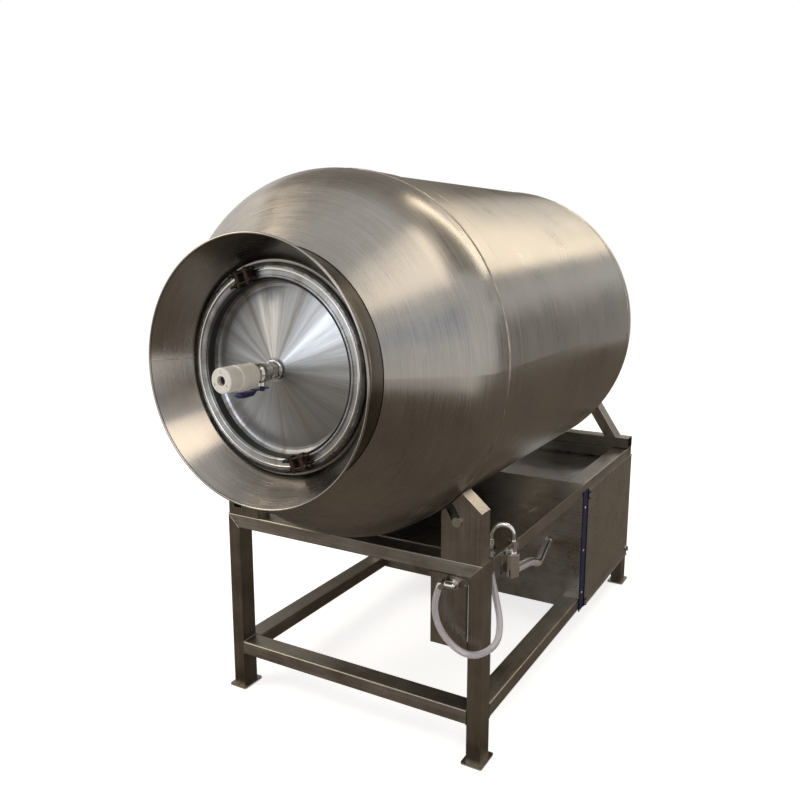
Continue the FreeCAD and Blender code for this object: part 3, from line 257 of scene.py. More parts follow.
def brushed_round(name, low, high, rough, spread=0.75, across_mm=3.0, length_mm=160.0, depth=0.018):
    """Stainless steel brushed by a belt while it turns: fine lines round the axis stretch the
    reflections across the lines, so lights show as long soft bands. Lines are drawn 3 mm wide,
    coarser than the real 0.2 mm, to show at all."""
    material, tree, shader = surface(name, low, rough, 1.0, Anisotropic=spread, Anisotropic_Rotation=0.25)
    vector, tangent, coords = round_axis(tree, across_mm, length_mm)
    tree.links.new(tangent, shader.inputs["Tangent"])
    strokes = noise(tree, vector, 1.0, 4.0, 0.65)
    patches = noise(tree, coords, 1 / (220 * MM), 4.0, 0.6)
    both = add(tree, "ShaderNodeMath", {0: strokes, 1: patches}, operation="MULTIPLY").outputs[0]
    mask = add(tree, "ShaderNodeMapRange", {"Value": both, "From Min": 0.12, "From Max": 0.42}).outputs[0]
    tree.links.new(mix_rgb(tree, mask, linear(low), linear(high)), shader.inputs["Base Color"])
    wear = add(tree, "ShaderNodeMapRange", {"Value": mask, "To Min": rough - 0.05, "To Max": rough + 0.08})
    tree.links.new(wear.outputs[0], shader.inputs["Roughness"])
    bump(tree, shader, strokes, depth)
    return material


def sunburst(name):
    """Lid disc ground by hand from the middle outwards, with fine rays in it. The sunburst of wedges, bluish
    light grey and brownish grey by turns, is painted into the colour: painted highlight and painted shade that
    stand for the reflections the brushing throws."""
    material, tree, shader = surface(name, "#96948f", 0.33, 1.0, Anisotropic=0.7, Anisotropic_Rotation=0.25)
    vector, tangent, coords = round_axis(tree, 60.0, 30.0)
    tree.links.new(tangent, shader.inputs["Tangent"])
    part = add(tree, "ShaderNodeSeparateXYZ", {0: vector})
    rays = add(tree, "ShaderNodeCombineXYZ", {0: 0.0, 1: 0.0, 2: part.outputs[2]}).outputs[0]
    # The wide wedge noise paints the sunburst into the colour: light bluish wedges are painted highlight,
    # brownish ones painted shade.
    wide = noise(tree, rays, 0.32, 1.0, 0.4)
    fine = noise(tree, add(tree, "ShaderNodeVectorMath", {0: vector, 1: (0.25, 0.25, 1.0)},
                           operation="MULTIPLY").outputs[0], 3.2, 3.0, 0.6)
    both = add(tree, "ShaderNodeMath", {0: fine, 1: 0.45, 2: wide}, operation="MULTIPLY_ADD").outputs[0]
    mask = add(tree, "ShaderNodeMapRange", {"Value": both, "From Min": 0.50, "From Max": 0.92}).outputs[0]
    tree.links.new(mix_rgb(tree, mask, linear("#85817b"), linear("#b3b6b8")), shader.inputs["Base Color"])
    wear = add(tree, "ShaderNodeMapRange", {"Value": mask, "To Min": 0.42, "To Max": 0.30})
    tree.links.new(wear.outputs[0], shader.inputs["Roughness"])
    bump(tree, shader, fine, 0.03)
    return material


def brushed_straight(name, low, high, rough, along, across_mm=2.2, length_mm=180.0, spread=0.6, depth=0.04):
    """Stainless sheet or tube ground with a belt along its length: fine straight lines, a little
    uneven from pass to pass, with cloudy handling marks over them."""
    material, tree, shader = surface(name, low, rough, 1.0, Anisotropic=spread, Anisotropic_Rotation=0.25)
    vector = stretched(tree, along, across_mm, length_mm)
    axis = [0.0, 0.0, 0.0]
    axis["XYZ".index(along)] = 1.0
    way = add(tree, "ShaderNodeVectorTransform", {0: axis}, vector_type="VECTOR",
              convert_from="OBJECT", convert_to="WORLD").outputs[0]
    tree.links.new(way, shader.inputs["Tangent"])
    strokes = noise(tree, vector, 1.0, 3.0, 0.6)
    coords = add(tree, "ShaderNodeTexCoord").outputs["Object"]
    patches = noise(tree, coords, 1 / (90 * MM), 5.0, 0.65)
    both = add(tree, "ShaderNodeMath", {0: strokes, 1: patches}, operation="MULTIPLY").outputs[0]
    mask = add(tree, "ShaderNodeMapRange", {"Value": both, "From Min": 0.12, "From Max": 0.42}).outputs[0]
    tree.links.new(mix_rgb(tree, mask, linear(low), linear(high)), shader.inputs["Base Color"])
    wear = add(tree, "ShaderNodeMapRange", {"Value": mask, "To Min": rough - 0.06, "To Max": rough + 0.10})
    tree.links.new(wear.outputs[0], shader.inputs["Roughness"])
    bump(tree, shader, strokes, depth)
    return material


def mottled(name, low, high, rough, metal, grain_mm, depth, **sockets):
    """Any surface whose grain has no direction: castings, paint, rubber, turned plastic."""
    material, tree, shader = surface(name, low, rough, metal, **sockets)
    coords = add(tree, "ShaderNodeTexCoord").outputs["Object"]
    grain = noise(tree, coords, 1 / (grain_mm * MM), 4.0, 0.6)
    cloud = noise(tree, coords, 1 / (grain_mm * 14 * MM), 3.0, 0.5)
    mask = add(tree, "ShaderNodeMapRange", {"Value": cloud, "From Min": 0.3, "From Max": 0.7}).outputs[0]
    tree.links.new(mix_rgb(tree, mask, linear(low), linear(high)), shader.inputs["Base Color"])
    wear = add(tree, "ShaderNodeMapRange", {"Value": grain, "To Min": rough - 0.08, "To Max": rough + 0.10})
    tree.links.new(wear.outputs[0], shader.inputs["Roughness"])
    bump(tree, shader, grain, depth)
    return material


def clear_hose(name):
    """Extruded clear PVC with a woven polyester net inside and one black stripe: glassy wall,
    pale threads crossing about every 5 mm, faint lilac tint where the wall is seen edge on."""
    material, tree, shader = surface(name, "#d9d4da", 0.16, 0.0, IOR=1.53, Transmission_Weight=0.55)
    uv = add(tree, "ShaderNodeUVMap", uv_map="UVMap").outputs[0]
    part = add(tree, "ShaderNodeSeparateXYZ", {0: uv})
    masks = []
    for sign in (1.0, -1.0):
        skew = add(tree, "ShaderNodeMath", {0: part.outputs[0], 1: part.outputs[1]},
                   operation="ADD" if sign > 0 else "SUBTRACT").outputs[0]
        wave = add(tree, "ShaderNodeMath", {0: skew, 1: 1.0}, operation="FRACT").outputs[0]
        masks.append(add(tree, "ShaderNodeMath", {0: wave, 1: 0.26}, operation="LESS_THAN").outputs[0])
    net = add(tree, "ShaderNodeMath", {0: masks[0], 1: masks[1]}, operation="MAXIMUM").outputs[0]
    thread = add(tree, "ShaderNodeBsdfDiffuse", {"Color": linear("#e6e2e8")})
    stripe = add(tree, "ShaderNodeBsdfPrincipled", {"Base Color": linear("#0e0d10"), "Roughness": 0.3})
    round_share = add(tree, "ShaderNodeUVMap", uv_map="Round").outputs[0]
    turn = add(tree, "ShaderNodeSeparateXYZ", {0: round_share}).outputs[1]
    band = add(tree, "ShaderNodeMath", {0: turn, 1: STRIPE_AT, 2: STRIPE_HALF}, operation="COMPARE").outputs[0]
    half = add(tree, "ShaderNodeMath", {0: net, 1: 0.45}, operation="MULTIPLY").outputs[0]
    wall = add(tree, "ShaderNodeMixShader", {0: half, 1: shader.outputs[0], 2: thread.outputs[0]})
    both = add(tree, "ShaderNodeMixShader", {0: band, 1: wall.outputs[0], 2: stripe.outputs[0]})
    output = next(n for n in tree.nodes if n.type == "OUTPUT_MATERIAL")
    tree.links.new(both.outputs[0], output.inputs["Surface"])
    return material


def seen(tree):
    """1 for what the camera, metal and clear plastic see, 0 for the light that falls on matt surfaces."""
    path = add(tree, "ShaderNodeLightPath")
    total = path.outputs["Is Camera Ray"]
    for other in ("Is Glossy Ray", "Is Transmission Ray"):
        total = add(tree, "ShaderNodeMath", {0: total, 1: path.outputs[other]}, operation="MAXIMUM").outputs[0]
    return total


def deselect():
    for obj in bpy.context.selected_objects:
        obj.select_set(False)


def only(obj):
    deselect()
    obj.select_set(True)
    bpy.context.view_layer.objects.active = obj


def settle(obj, name, material, body, smooth=35):
    """Names a new piece, puts its place into its mesh, and fixes it to its body."""
    only(obj)
    bpy.ops.object.transform_apply(location=True, rotation=True, scale=True)
    bpy.ops.object.shade_smooth_by_angle(angle=math.radians(smooth))
    obj.name = name
    obj.data.name = name
    obj.data.materials.clear()
    obj.data.materials.append(material)
    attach(obj, body)
    return obj


def join(objects):
    deselect()
    for obj in objects:
        obj.select_set(True)
    bpy.context.view_layer.objects.active = objects[0]
    bpy.ops.object.join()
    return bpy.context.view_layer.objects.active


def place(obj, origin, along):
    """Turns a piece made along +Z so that it lies along a direction, and moves it."""
    obj.rotation_mode = "QUATERNION"
    obj.rotation_quaternion = Vector(along).normalized().to_track_quat("Z", "Y")
    obj.location = origin
    only(obj)
    bpy.ops.object.transform_apply(location=True, rotation=True, scale=True)
    obj.rotation_mode = "XYZ"
    return obj


def ripple(obj, size_mm, depth_mm):
    """Uneven surface of a laid weld, from a displacement that is applied at once."""
    texture = bpy.data.textures.new("weld_ripple", "CLOUDS")
    texture.noise_scale = size_mm * MM
    only(obj)
    modifier = obj.modifiers.new("ripple", "DISPLACE")
    modifier.texture = texture
    modifier.texture_coords = "LOCAL"
    modifier.strength = depth_mm * MM
    modifier.mid_level = 0.5
    bpy.ops.object.modifier_apply(modifier=modifier.name)
    return obj


def hoop(radius, y, section):
    """A weld bead laid round the drum."""
    deselect()
    bpy.ops.mesh.primitive_torus_add(
        location=(0, y, AXIS_Z), rotation=(math.radians(90), 0, 0), major_segments=300, minor_segments=8,
        major_radius=radius, minor_radius=section)
    obj = bpy.context.view_layer.objects.active
    only(obj)
    bpy.ops.object.transform_apply(location=True, rotation=True, scale=True)
    return ripple(obj, 5.0, 0.8)


def bead(start, end, section):
    """A straight weld bead: a rod swelling and thinning at each ripple, closed at both ends."""
    start = Vector(start)
    end = Vector(end)
    length = (end - start).length
    steps = max(4, int(length / 0.004))
    deselect()
    bpy.ops.mesh.primitive_circle_add(vertices=8, radius=section * 0.6, fill_type="NGON")
    obj = bpy.context.view_layer.objects.active
    bpy.ops.object.mode_set(mode="EDIT")
    bpy.ops.mesh.select_all(action="SELECT")
    swell = 1.0
    for i in range(steps):
        target = 1.0 if i % 2 else 1.25
        if i == steps - 1:
            target = 0.6
        bpy.ops.mesh.extrude_region_move(TRANSFORM_OT_translate={"value": (0, 0, length / steps)})
        factor = target / swell
        bpy.ops.transform.resize(value=(factor, factor, 1), center_override=(0, 0, 0))
        swell = target
    bpy.ops.mesh.select_all(action="SELECT")
    bpy.ops.mesh.normals_make_consistent(inside=False)
    bpy.ops.object.mode_set(mode="OBJECT")
    return place(obj, start, end - start)


def dome_screw(origin, along, radius):
    """Low domed screw head along a direction."""
    deselect()
    bpy.ops.mesh.primitive_uv_sphere_add(segments=24, ring_count=12, radius=radius)
    obj = bpy.context.view_layer.objects.active
    bpy.ops.object.mode_set(mode="EDIT")
    bpy.ops.mesh.select_all(action="SELECT")
    bpy.ops.mesh.bisect(plane_co=(0, 0, 0), plane_no=(0, 0, 1), use_fill=True, clear_inner=True)
    bpy.ops.mesh.select_all(action="SELECT")
    bpy.ops.transform.resize(value=(1, 1, 0.45), center_override=(0, 0, 0))
    bpy.ops.object.mode_set(mode="OBJECT")
    return place(obj, origin, along)


class TumblerSurfaces(bpy.types.PropertyGroup):
    steel_roughness: FloatProperty(name="Drum roughness", description="Roughness of the brushed drum",
                                   default=0.30, min=0.05, max=0.9, subtype="FACTOR")
    brush_spread: FloatProperty(name="Brush spread", description="How far the brushing stretches reflections",
                                default=0.75, min=0.0, max=1.0, subtype="FACTOR")


class TumblerHoses(bpy.types.PropertyGroup):
    suction_width: FloatProperty(name="Suction hose", description="Outside diameter of the suction hose",
                                 default=0.017, unit="LENGTH")
    pump_width: FloatProperty(name="Pump hose", description="Outside diameter of the pump hose",
                              default=0.024, unit="LENGTH")


class TumblerWelds(bpy.types.PropertyGroup):
    bead_width: FloatProperty(name="Bead", description="Half width of a frame weld",
                              default=0.0028, unit="LENGTH")
    seam_width: FloatProperty(name="Seam", description="Half width of a drum seam",
                              default=0.0034, unit="LENGTH")


class TumblerStudio(bpy.types.PropertyGroup):
    lens: FloatProperty(name="Lens", description="Focal length of the camera in millimetres", default=36.8)
    floor_colour: FloatVectorProperty(name="Floor", description="Colour of the floor", subtype="COLOR",
                                      size=3, default=(0.85, 0.85, 0.85), min=0, max=1)


MATERIALS = {}


def finish(key):
    return MATERIALS[key]


def facing(name, data, spot, ahead):
    """Puts a camera or a lamp in its place, looking along a direction."""
    obj = bpy.data.objects.new(name, data)
    bpy.context.scene.collection.objects.link(obj)
    obj.location = spot
    obj.rotation_euler = ahead.to_track_quat("-Z", "Y").to_euler()
    return obj


def set_camera(lens):
    yaw = math.radians(YAW)
    pitch = math.radians(PITCH)
    data = bpy.data.cameras.new("camera")
    data.lens = lens
    data.sensor_width = 36.0
    ahead = Vector((-math.sin(yaw) * math.cos(pitch), math.cos(yaw) * math.cos(pitch), -math.sin(pitch)))
    bpy.context.scene.camera = facing("camera", data, EYE, ahead)


def set_lamps():
    for name, spot, target, wide, tall, power, hex_code in LAMPS:
        lamp = bpy.data.lights.new(name, "AREA")
        lamp.shape = "RECTANGLE"
        lamp.size = wide
        lamp.size_y = tall
        lamp.energy = power
        lamp.color = linear(hex_code)[:3]
        facing(name, lamp, spot, Vector(target) - Vector(spot))


def bare_tree(holder):
    """The emptied node tree of a new world or material."""
    holder.use_nodes = True
    holder.node_tree.nodes.clear()
    return holder.node_tree


def set_world():
    """White where it is seen, and a pale light on matt surfaces."""
    world = bpy.data.worlds.new("pale_studio")
    bpy.context.scene.world = world
    tree = bare_tree(world)
    light = add(tree, "ShaderNodeBackground", {"Color": linear("#ddd8d0"), "Strength": 0.5})
    white = add(tree, "ShaderNodeBackground", {"Color": (1, 1, 1, 1), "Strength": 1.0})
    mix = add(tree, "ShaderNodeMixShader", {0: seen(tree), 1: light.outputs[0], 2: white.outputs[0]})
    add(tree, "ShaderNodeOutputWorld", {0: mix.outputs[0]})


def set_floor(colour):
    """A matt floor that glows where it is seen, so that it is white and still takes the shadow."""
    deselect()
    bpy.ops.mesh.primitive_plane_add(size=FLOOR_SIDE, location=(0, 0, 0))
    floor = bpy.context.view_layer.objects.active
    floor.name = "floor"
    material = bpy.data.materials.new("matte_floor_paint")
    tree = bare_tree(material)
    matte = add(tree, "ShaderNodeBsdfDiffuse", {"Color": tuple(colour) + (1.0,)})
    glow = add(tree, "ShaderNodeEmission", {"Color": (1, 1, 1, 1), "Strength": FLOOR_GLOW})
    lit = add(tree, "ShaderNodeAddShader", {0: matte.outputs[0], 1: glow.outputs[0]})
    mix = add(tree, "ShaderNodeMixShader", {0: seen(tree), 1: matte.outputs[0], 2: lit.outputs[0]})
    add(tree, "ShaderNodeOutputMaterial", {0: mix.outputs[0]})
    floor.data.materials.append(material)


def set_board(name, hex_code, low, high):
    """One glowing board between two corners, out of the camera's sight."""
    material = bpy.data.materials.new(name)
    tree = bare_tree(material)
    glow = add(tree, "ShaderNodeEmission", {"Color": linear(hex_code), "Strength": 1.0})
    add(tree, "ShaderNodeOutputMaterial", {0: glow.outputs[0]})
    low, high = Vector(low), Vector(high)
    size = high - low
    turn = (0, 0, 0)
    span = (size.x, size.y, 1)
    if size.y == 0:
        turn = (math.radians(90), 0, 0)
        span = (size.x, size.z, 1)
    if size.x == 0:
        turn = (0, math.radians(90), 0)
        span = (size.z, size.y, 1)
    deselect()
    bpy.ops.mesh.primitive_plane_add(size=1, location=(low + high) / 2, rotation=turn)
    card = bpy.context.view_layer.objects.active
    card.scale = span
    only(card)
    bpy.ops.object.transform_apply(location=True, rotation=True, scale=True)
    card.name = name
    card.data.materials.append(material)
    card.visible_camera = False
    card.visible_diffuse = False
    card.visible_shadow = False
    card.visible_transmission = False


class OBJECT_OT_tumbler_stage(bpy.types.Operator):
    """Camera, soft lamps, pale world, floor and the boards that the metal shows"""
    bl_idname = "object.tumbler_stage"
    bl_label = "Studio"

    def execute(self, context):
        studio = context.scene.tumbler_studio
        set_camera(studio.lens)
        set_lamps()
        set_world()
        set_floor(studio.floor_colour)
        for board in BOARDS:
            set_board(*board)
        if context.scene.camera is None:
            raise RuntimeError("the studio has no camera")
        return {"FINISHED"}


class OBJECT_OT_tumbler_surfaces(bpy.types.Operator):
    """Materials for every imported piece"""
    bl_idname = "object.tumbler_surfaces"
    bl_label = "Surfaces"

    def execute(self, context):
        look = context.scene.tumbler_surfaces
        rough = look.steel_roughness
        spread = look.brush_spread
        m = MATERIALS
        m["drum"] = brushed_round("stainless_belt_brushed_drum", "#8f8a83", "#aaa59c", rough, spread)
        m["dome"] = brushed_round("stainless_belt_brushed_dome", "#8d8983", "#a8a39c", rough - 0.02, spread, 2.5)
        m["lid"] = sunburst("stainless_disc_ground_lid_painted_sunburst")
        m["mirror"] = brushed_straight("stainless_polished_cover", "#c9ccd0", "#dfe3e8", 0.16, "X", 2.0, 300.0,
                                       0.3, 0.0)
        # Near-black steel for the clamp's channel wall: painted shade for the gap between the collar and the bar.
        m["painted_shade_channel"] = mottled("stainless_channel_painted_shade", "#2e2a27", "#4a453f", 0.55, 1.0, 2.0, 0.05)
        m["rusty"] = mottled("carbon_steel_lug_rusted", "#231d19", "#4a3326", 0.62, 0.8, 1.6, 0.12)
        m["collar"] = brushed_round("stainless_spun_collar", "#8e8a85", "#a9a49d", 0.22, 0.6, 2.5)
        m["ring"] = brushed_round("stainless_polished_ring", "#c2beb7", "#d5d1ca", 0.14, 0.3, 4.0, 200.0, 0.01)
        for axis in "XYZ":
            m["tube_" + axis] = brushed_straight("stainless_ground_tube_" + axis.lower(), "#7d766c", "#9d968b",
                                                 0.36, axis)
            m["sheet_" + axis] = brushed_straight("stainless_brushed_sheet_" + axis.lower(), "#87817a", "#a59f96",
                                                  0.30, axis, 1.8, 260.0)
        m["bright"] = mottled("stainless_turned_bright", "#bdb9b2", "#cbc7c0", 0.20, 1.0, 2.0, 0.01)
        m["chrome"] = mottled("chrome_plated_brass", "#d2d1cf", "#dcdbd9", 0.10, 1.0, 3.0, 0.005)
        m["bolt"] = mottled("black_oxide_steel_bolt", "#2a2724", "#3a3631", 0.38, 1.0, 1.2, 0.03)
        m["navy"] = mottled("navy_enamel_strip", "#0c0c34", "#131446", 0.50, 0.0, 1.5, 0.02)
        m["lever"] = mottled("navy_vinyl_dipped_lever", "#1a1840", "#242254", 0.42, 0.0, 1.0, 0.03)
        m["nylon"] = mottled("white_nylon_turned", "#dedcd8", "#e9e7e3", 0.45, 0.0, 1.2, 0.03)
        m["tread"] = mottled("dark_nylon_roller_cast", "#1d1c1d", "#2b2a2a", 0.5, 0.0, 1.6, 0.05)
        m["rubber"] = mottled("food_rubber_moulded_black", "#141414", "#1f1f1f", 0.62, 0.0, 0.8, 0.04)
        m["castings"] = mottled("painted_cast_iron_grey", "#59605f", "#666d6c", 0.46, 0.0, 2.4, 0.2,
                                Coat_Weight=0.2)
        m["fan"] = mottled("polypropylene_moulded_fan", "#1b1c1f", "#26272a", 0.5, 0.0, 1.2, 0.02)
        m["weld"] = mottled("stainless_tig_bead", "#8d8578", "#b3aa9b", 0.30, 1.0, 2.0, 0.12)
        m["hose"] = clear_hose("clear_pvc_braided_hose")
        for key, names in PLAN.items():
            for name in names:
                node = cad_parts[name]
                node.data.materials.clear()
                node.data.materials.append(m[key])
        left = [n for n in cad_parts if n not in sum(PLAN.values(), [])]
        if left:
            raise RuntimeError("no finish for " + ", ".join(left))
        return {"FINISHED"}


def make_hose(name, route, width, swapped):
    """A hose on one smooth spline led by its route, with a map for its net and one for its stripe."""
    data = bpy.data.curves.new(name + "_line", "CURVE")
    data.dimensions = "3D"
    data.resolution_u = 24
    spline = data.splines.new("NURBS")
    spline.points.add(len(route) - 1)
    for point, spot in zip(spline.points, route):
        point.co = (*spot, 1.0)
    spline.order_u = 3
    spline.use_endpoint_u = True
    line = bpy.data.objects.new(name + "_line", data)
    bpy.context.scene.collection.objects.link(line)
    flat = bpy.data.meshes.new_from_object(line)
    path = [v.co.copy() for v in flat.vertices]
    bpy.data.meshes.remove(flat)
    length = sum((b - a).length for a, b in zip(path, path[1:]))
    data.bevel_depth = width / 2
    data.bevel_resolution = 6
    only(line)
    bpy.ops.object.convert(target="MESH")
    tube = bpy.context.view_layer.objects.active
    tube.name = name
    tube.data.name = name
    # one map runs in threads, for the net, and the other from 0 to 1, for the stripe
    layer = tube.data.uv_layers[0]
    layer.name = "UVMap"
    share = tube.data.uv_layers.new(name="Round")
    for item, plain in zip(layer.data, share.data):
        plain.uv = item.uv
        item.uv = (item.uv[0] * length / THREAD_STEP, item.uv[1] * THREADS_ROUND)
    tube.data.uv_layers.active = layer
    tube.data.materials.clear()
    tube.data.materials.append(finish("hose"))
    for polygon in tube.data.polygons:
        polygon.use_smooth = True
    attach(tube, "frame")
    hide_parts(swapped)
    return tube


class OBJECT_OT_tumbler_hoses(bpy.types.Operator):
    """The two clear hoses"""
    bl_idname = "object.tumbler_hoses"
    bl_label = "Hoses"

    def execute(self, context):
        sizes = context.scene.tumbler_hoses
        make_hose("suction_hose_clear", SUCTION_ROUTE, sizes.suction_width, "suction_hose")
        make_hose("pump_hose_clear", PUMP_ROUTE, sizes.pump_width, "pump_hose")
        return {"FINISHED"}


class OBJECT_OT_tumbler_welds(bpy.types.Operator):
    """Weld seams of the drum and the weld beads of the frame"""
    bl_idname = "object.tumbler_welds"
    bl_label = "Welds"

    def execute(self, context):
        sizes = context.scene.tumbler_welds
        seam = sizes.seam_width
        seams = [
            hoop(BAND_R - seam * 0.35, BAND_LOW.y, seam),
            hoop(SHELL_R + seam * 0.4, BAND_HIGH.y, seam * 0.8),
            hoop(SHELL_R - seam * 0.5, SHELL_HIGH.y, seam),
        ]
        settle(join(seams), "drum_seams", finish("weld"), "drum")
        b = sizes.bead_width
        low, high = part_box("rail_top_front")
        leg_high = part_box("leg_front_right")[1]
        beads = []
        for side in (-1, 1):
            for y in (low.y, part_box("rail_top_rear")[1].y):
                x_in = side * (leg_high.x - TUBE_SIDE)
                x_out = side * leg_high.x
                beads.append(bead((x_in, y, low.z), (x_out * 0.996, y, high.z - 0.002), b * 0.5))
        for side in (-1, 1):
            for name in ("front", "rear"):
                r_low, r_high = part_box("rail_low_" + name)
                x = side * r_high.x
                y = r_low.y if name == "front" else r_high.y
                beads.append(bead((x, y, r_low.z), (x, y, r_high.z), b * 0.6))
                beads.append(bead((x, r_low.y, r_high.z), (x, r_high.y, r_high.z), b))
                beads.append(bead((x, r_low.y, r_low.z), (x, r_high.y, r_low.z), b))
            for name in ("rail_low_right", "rail_top_right"):
                r_low, r_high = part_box(name)
                for y in (r_low.y, r_high.y):
                    beads.append(bead((side * r_low.x, y, r_low.z), (side * r_high.x, y, r_low.z), b))
                    beads.append(bead((side * r_high.x, y, r_low.z), (side * r_high.x, y, r_high.z), b * 0.6))
        settle(join(beads), "frame_welds", finish("weld"), "frame")
        return {"FINISHED"}


def spun_ring(r0, r1, y0, y1, rounding):
    """A ring round the drum's axis with a rectangular section, spun from the section's outline."""
    deselect()
    bpy.ops.mesh.primitive_plane_add(size=1, location=(0, (y0 + y1) / 2, AXIS_Z + (r0 + r1) / 2),
                                     rotation=(0, math.radians(90), 0))
    obj = bpy.context.view_layer.objects.active
    obj.scale = (r1 - r0, y1 - y0, 1)
    only(obj)
    bpy.ops.object.transform_apply(location=True, rotation=True, scale=True)
    bpy.ops.object.mode_set(mode="EDIT")
    bpy.ops.mesh.select_all(action="SELECT")
    bpy.ops.mesh.delete(type="ONLY_FACE")
    bpy.ops.mesh.select_all(action="SELECT")
    bpy.ops.mesh.spin(steps=180, angle=math.radians(360), center=DRUM_CENTRE, axis=(0, 1, 0))
    bpy.ops.mesh.select_all(action="SELECT")
    bpy.ops.mesh.remove_doubles(threshold=0.00005)
    bpy.ops.mesh.normals_make_consistent(inside=False)
    bpy.ops.object.mode_set(mode="OBJECT")
    modifier = obj.modifiers.new("edge", "BEVEL")
    modifier.width = rounding
    modifier.segments = 3
    modifier.limit_method = "ANGLE"
    bpy.ops.object.modifier_apply(modifier=modifier.name)
    return obj


def around(radius, degrees, y):
    """A point at a clock angle round the drum's axis, seen from the lid end."""
    a = math.radians(degrees)
    return Vector((radius * math.cos(a), y, AXIS_Z + radius * math.sin(a)))


def clamp_bar(y):
    """Round clamping bar in two halves, open for 16 mm at each pair of lugs."""
    deselect()
    bpy.ops.mesh.primitive_torus_add(
        location=(0, y, AXIS_Z), rotation=(math.radians(90), 0, 0), major_segments=288, minor_segments=20,
        major_radius=BAR_R, minor_radius=BAR_SECTION)
    obj = bpy.context.view_layer.objects.active
    only(obj)
    bpy.ops.object.transform_apply(location=True, rotation=True, scale=True)
    a = math.radians(CLAMP_ANGLE)
    across = Vector((-math.sin(a), 0, math.cos(a)))
    for polygon in obj.data.polygons:
        polygon.select = abs((polygon.center - DRUM_CENTRE).dot(across)) < BAR_GAP / 2
    bpy.ops.object.mode_set(mode="EDIT")
    bpy.ops.mesh.select_mode(type="FACE")
    bpy.ops.mesh.delete(type="FACE")
    bpy.ops.mesh.select_all(action="SELECT")
    bpy.ops.mesh.fill_holes(sides=0)
    bpy.ops.object.mode_set(mode="OBJECT")
    return obj


def clamp_lug():
    """One lug standing on +Z from its seat: a forged block with a rounded top."""
    deselect()
    bpy.ops.mesh.primitive_cube_add(size=1, location=(0, 0, LUG_SIZE[2] / 2))
    obj = bpy.context.view_layer.objects.active
    obj.scale = LUG_SIZE
    only(obj)
    bpy.ops.object.transform_apply(location=True, rotation=True, scale=True)
    bpy.ops.object.mode_set(mode="EDIT")
    bpy.ops.mesh.select_all(action="SELECT")
    bpy.ops.mesh.bevel(offset=0.004, segments=3, affect="EDGES")
    bpy.ops.object.mode_set(mode="OBJECT")
    return obj


def clamp_bolt(length):
    """Threaded bolt along +Z with its head and nut."""
    pieces = []
    deselect()
    bpy.ops.mesh.primitive_cylinder_add(vertices=20, radius=BOLT_R, depth=length, location=(0, 0, 0))
    pieces.append(bpy.context.view_layer.objects.active)
    for z, high in ((-0.023, 0.007), (0.0225, 0.006)):
        deselect()
        bpy.ops.mesh.primitive_cylinder_add(vertices=6, radius=NUT_R, depth=high, location=(0, 0, z))
        nut = bpy.context.view_layer.objects.active
        modifier = nut.modifiers.new("edge", "BEVEL")
        modifier.width = 0.0007
        only(nut)
        bpy.ops.object.modifier_apply(modifier=modifier.name)
        pieces.append(nut)
    first = -length / 2 + 0.001
    while first < -0.028:
        deselect()
        bpy.ops.mesh.primitive_torus_add(location=(0, 0, first), major_segments=16, minor_segments=4,
                                         major_radius=BOLT_R, minor_radius=0.0005)
        pieces.append(bpy.context.view_layer.objects.active)
        first += THREAD_PITCH
    return join(pieces)


def turned_to(obj, origin, x_way, z_way):
    """Moves a piece so that its own X and Z lie along two given directions."""
    x_way = Vector(x_way).normalized()
    z_way = Vector(z_way).normalized()
    y_way = z_way.cross(x_way)
    turn = Matrix((x_way, y_way, z_way)).transposed().to_4x4()
    obj.matrix_world = Matrix.Translation(origin) @ turn
    only(obj)
    bpy.ops.object.transform_apply(location=True, rotation=True, scale=True)
    return obj


class OBJECT_OT_tumbler_clamp(bpy.types.Operator):
    """Clamp bar, lugs and bolts round the lid"""
    bl_idname = "object.tumbler_clamp"
    bl_label = "Clamp"

    def execute(self, context):
        low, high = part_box("clamp_ring")
        seat = low.y + LUG_BLOCK
        bar_y = seat - BAR_SECTION
        lip = spun_ring(LIP_R, WALL_R, seat, high.y, CHANNEL_EDGE)
        ring = join([clamp_bar(bar_y), lip])
        settle(ring, "clamp_bar", finish("ring"), "lid", 45)
        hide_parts("clamp_ring")
        # The channel wall's near-black colour is painted shade in the gap round the bar.
        wall = spun_ring(WALL_R, CHANNEL_R, seat + WALL_SET_BACK, high.y, CHANNEL_EDGE)
        settle(wall, "clamp_channel_wall", finish("painted_shade_channel"), "lid")
        lugs = []
        bolts = []
        forward = Vector((0, -1, 0))
        for turn in (CLAMP_ANGLE, CLAMP_ANGLE + 180):
            a = math.radians(turn)
            out = Vector((math.cos(a), 0, math.sin(a)))
            across = Vector((-math.sin(a), 0, math.cos(a)))
            spot = around(BAR_R, turn, seat)
            for side in (-1, 1):
                lugs.append(turned_to(clamp_lug(), spot + across * (LUG_APART * side), out, forward))
            for reach in (-BOLT_APART, BOLT_APART):
                start = spot + out * reach + forward * BOLT_HEIGHT
                bolts.append(turned_to(clamp_bolt(BOLT_LENGTH), start, out, across))
        settle(join(lugs), "clamp_lugs", finish("rusty"), "lid", 40)
        bolt_set = settle(join(bolts), "clamp_bolt_set", finish("bolt"), "lid", 40)
        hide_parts("clamp_bolts")
        # A black rubber ring lining the lid's recess wall; its black also stands as painted shade in the recess.
        lid_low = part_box("lid_plate")[0]
        lining = spun_ring(0.2035, 0.2075, lid_low.y + 0.0045, lid_low.y + 0.033, 0.0012)
        settle(lining, "lid_recess_painted_shade_ring", finish("rubber"), "lid")
        return {"FINISHED"}


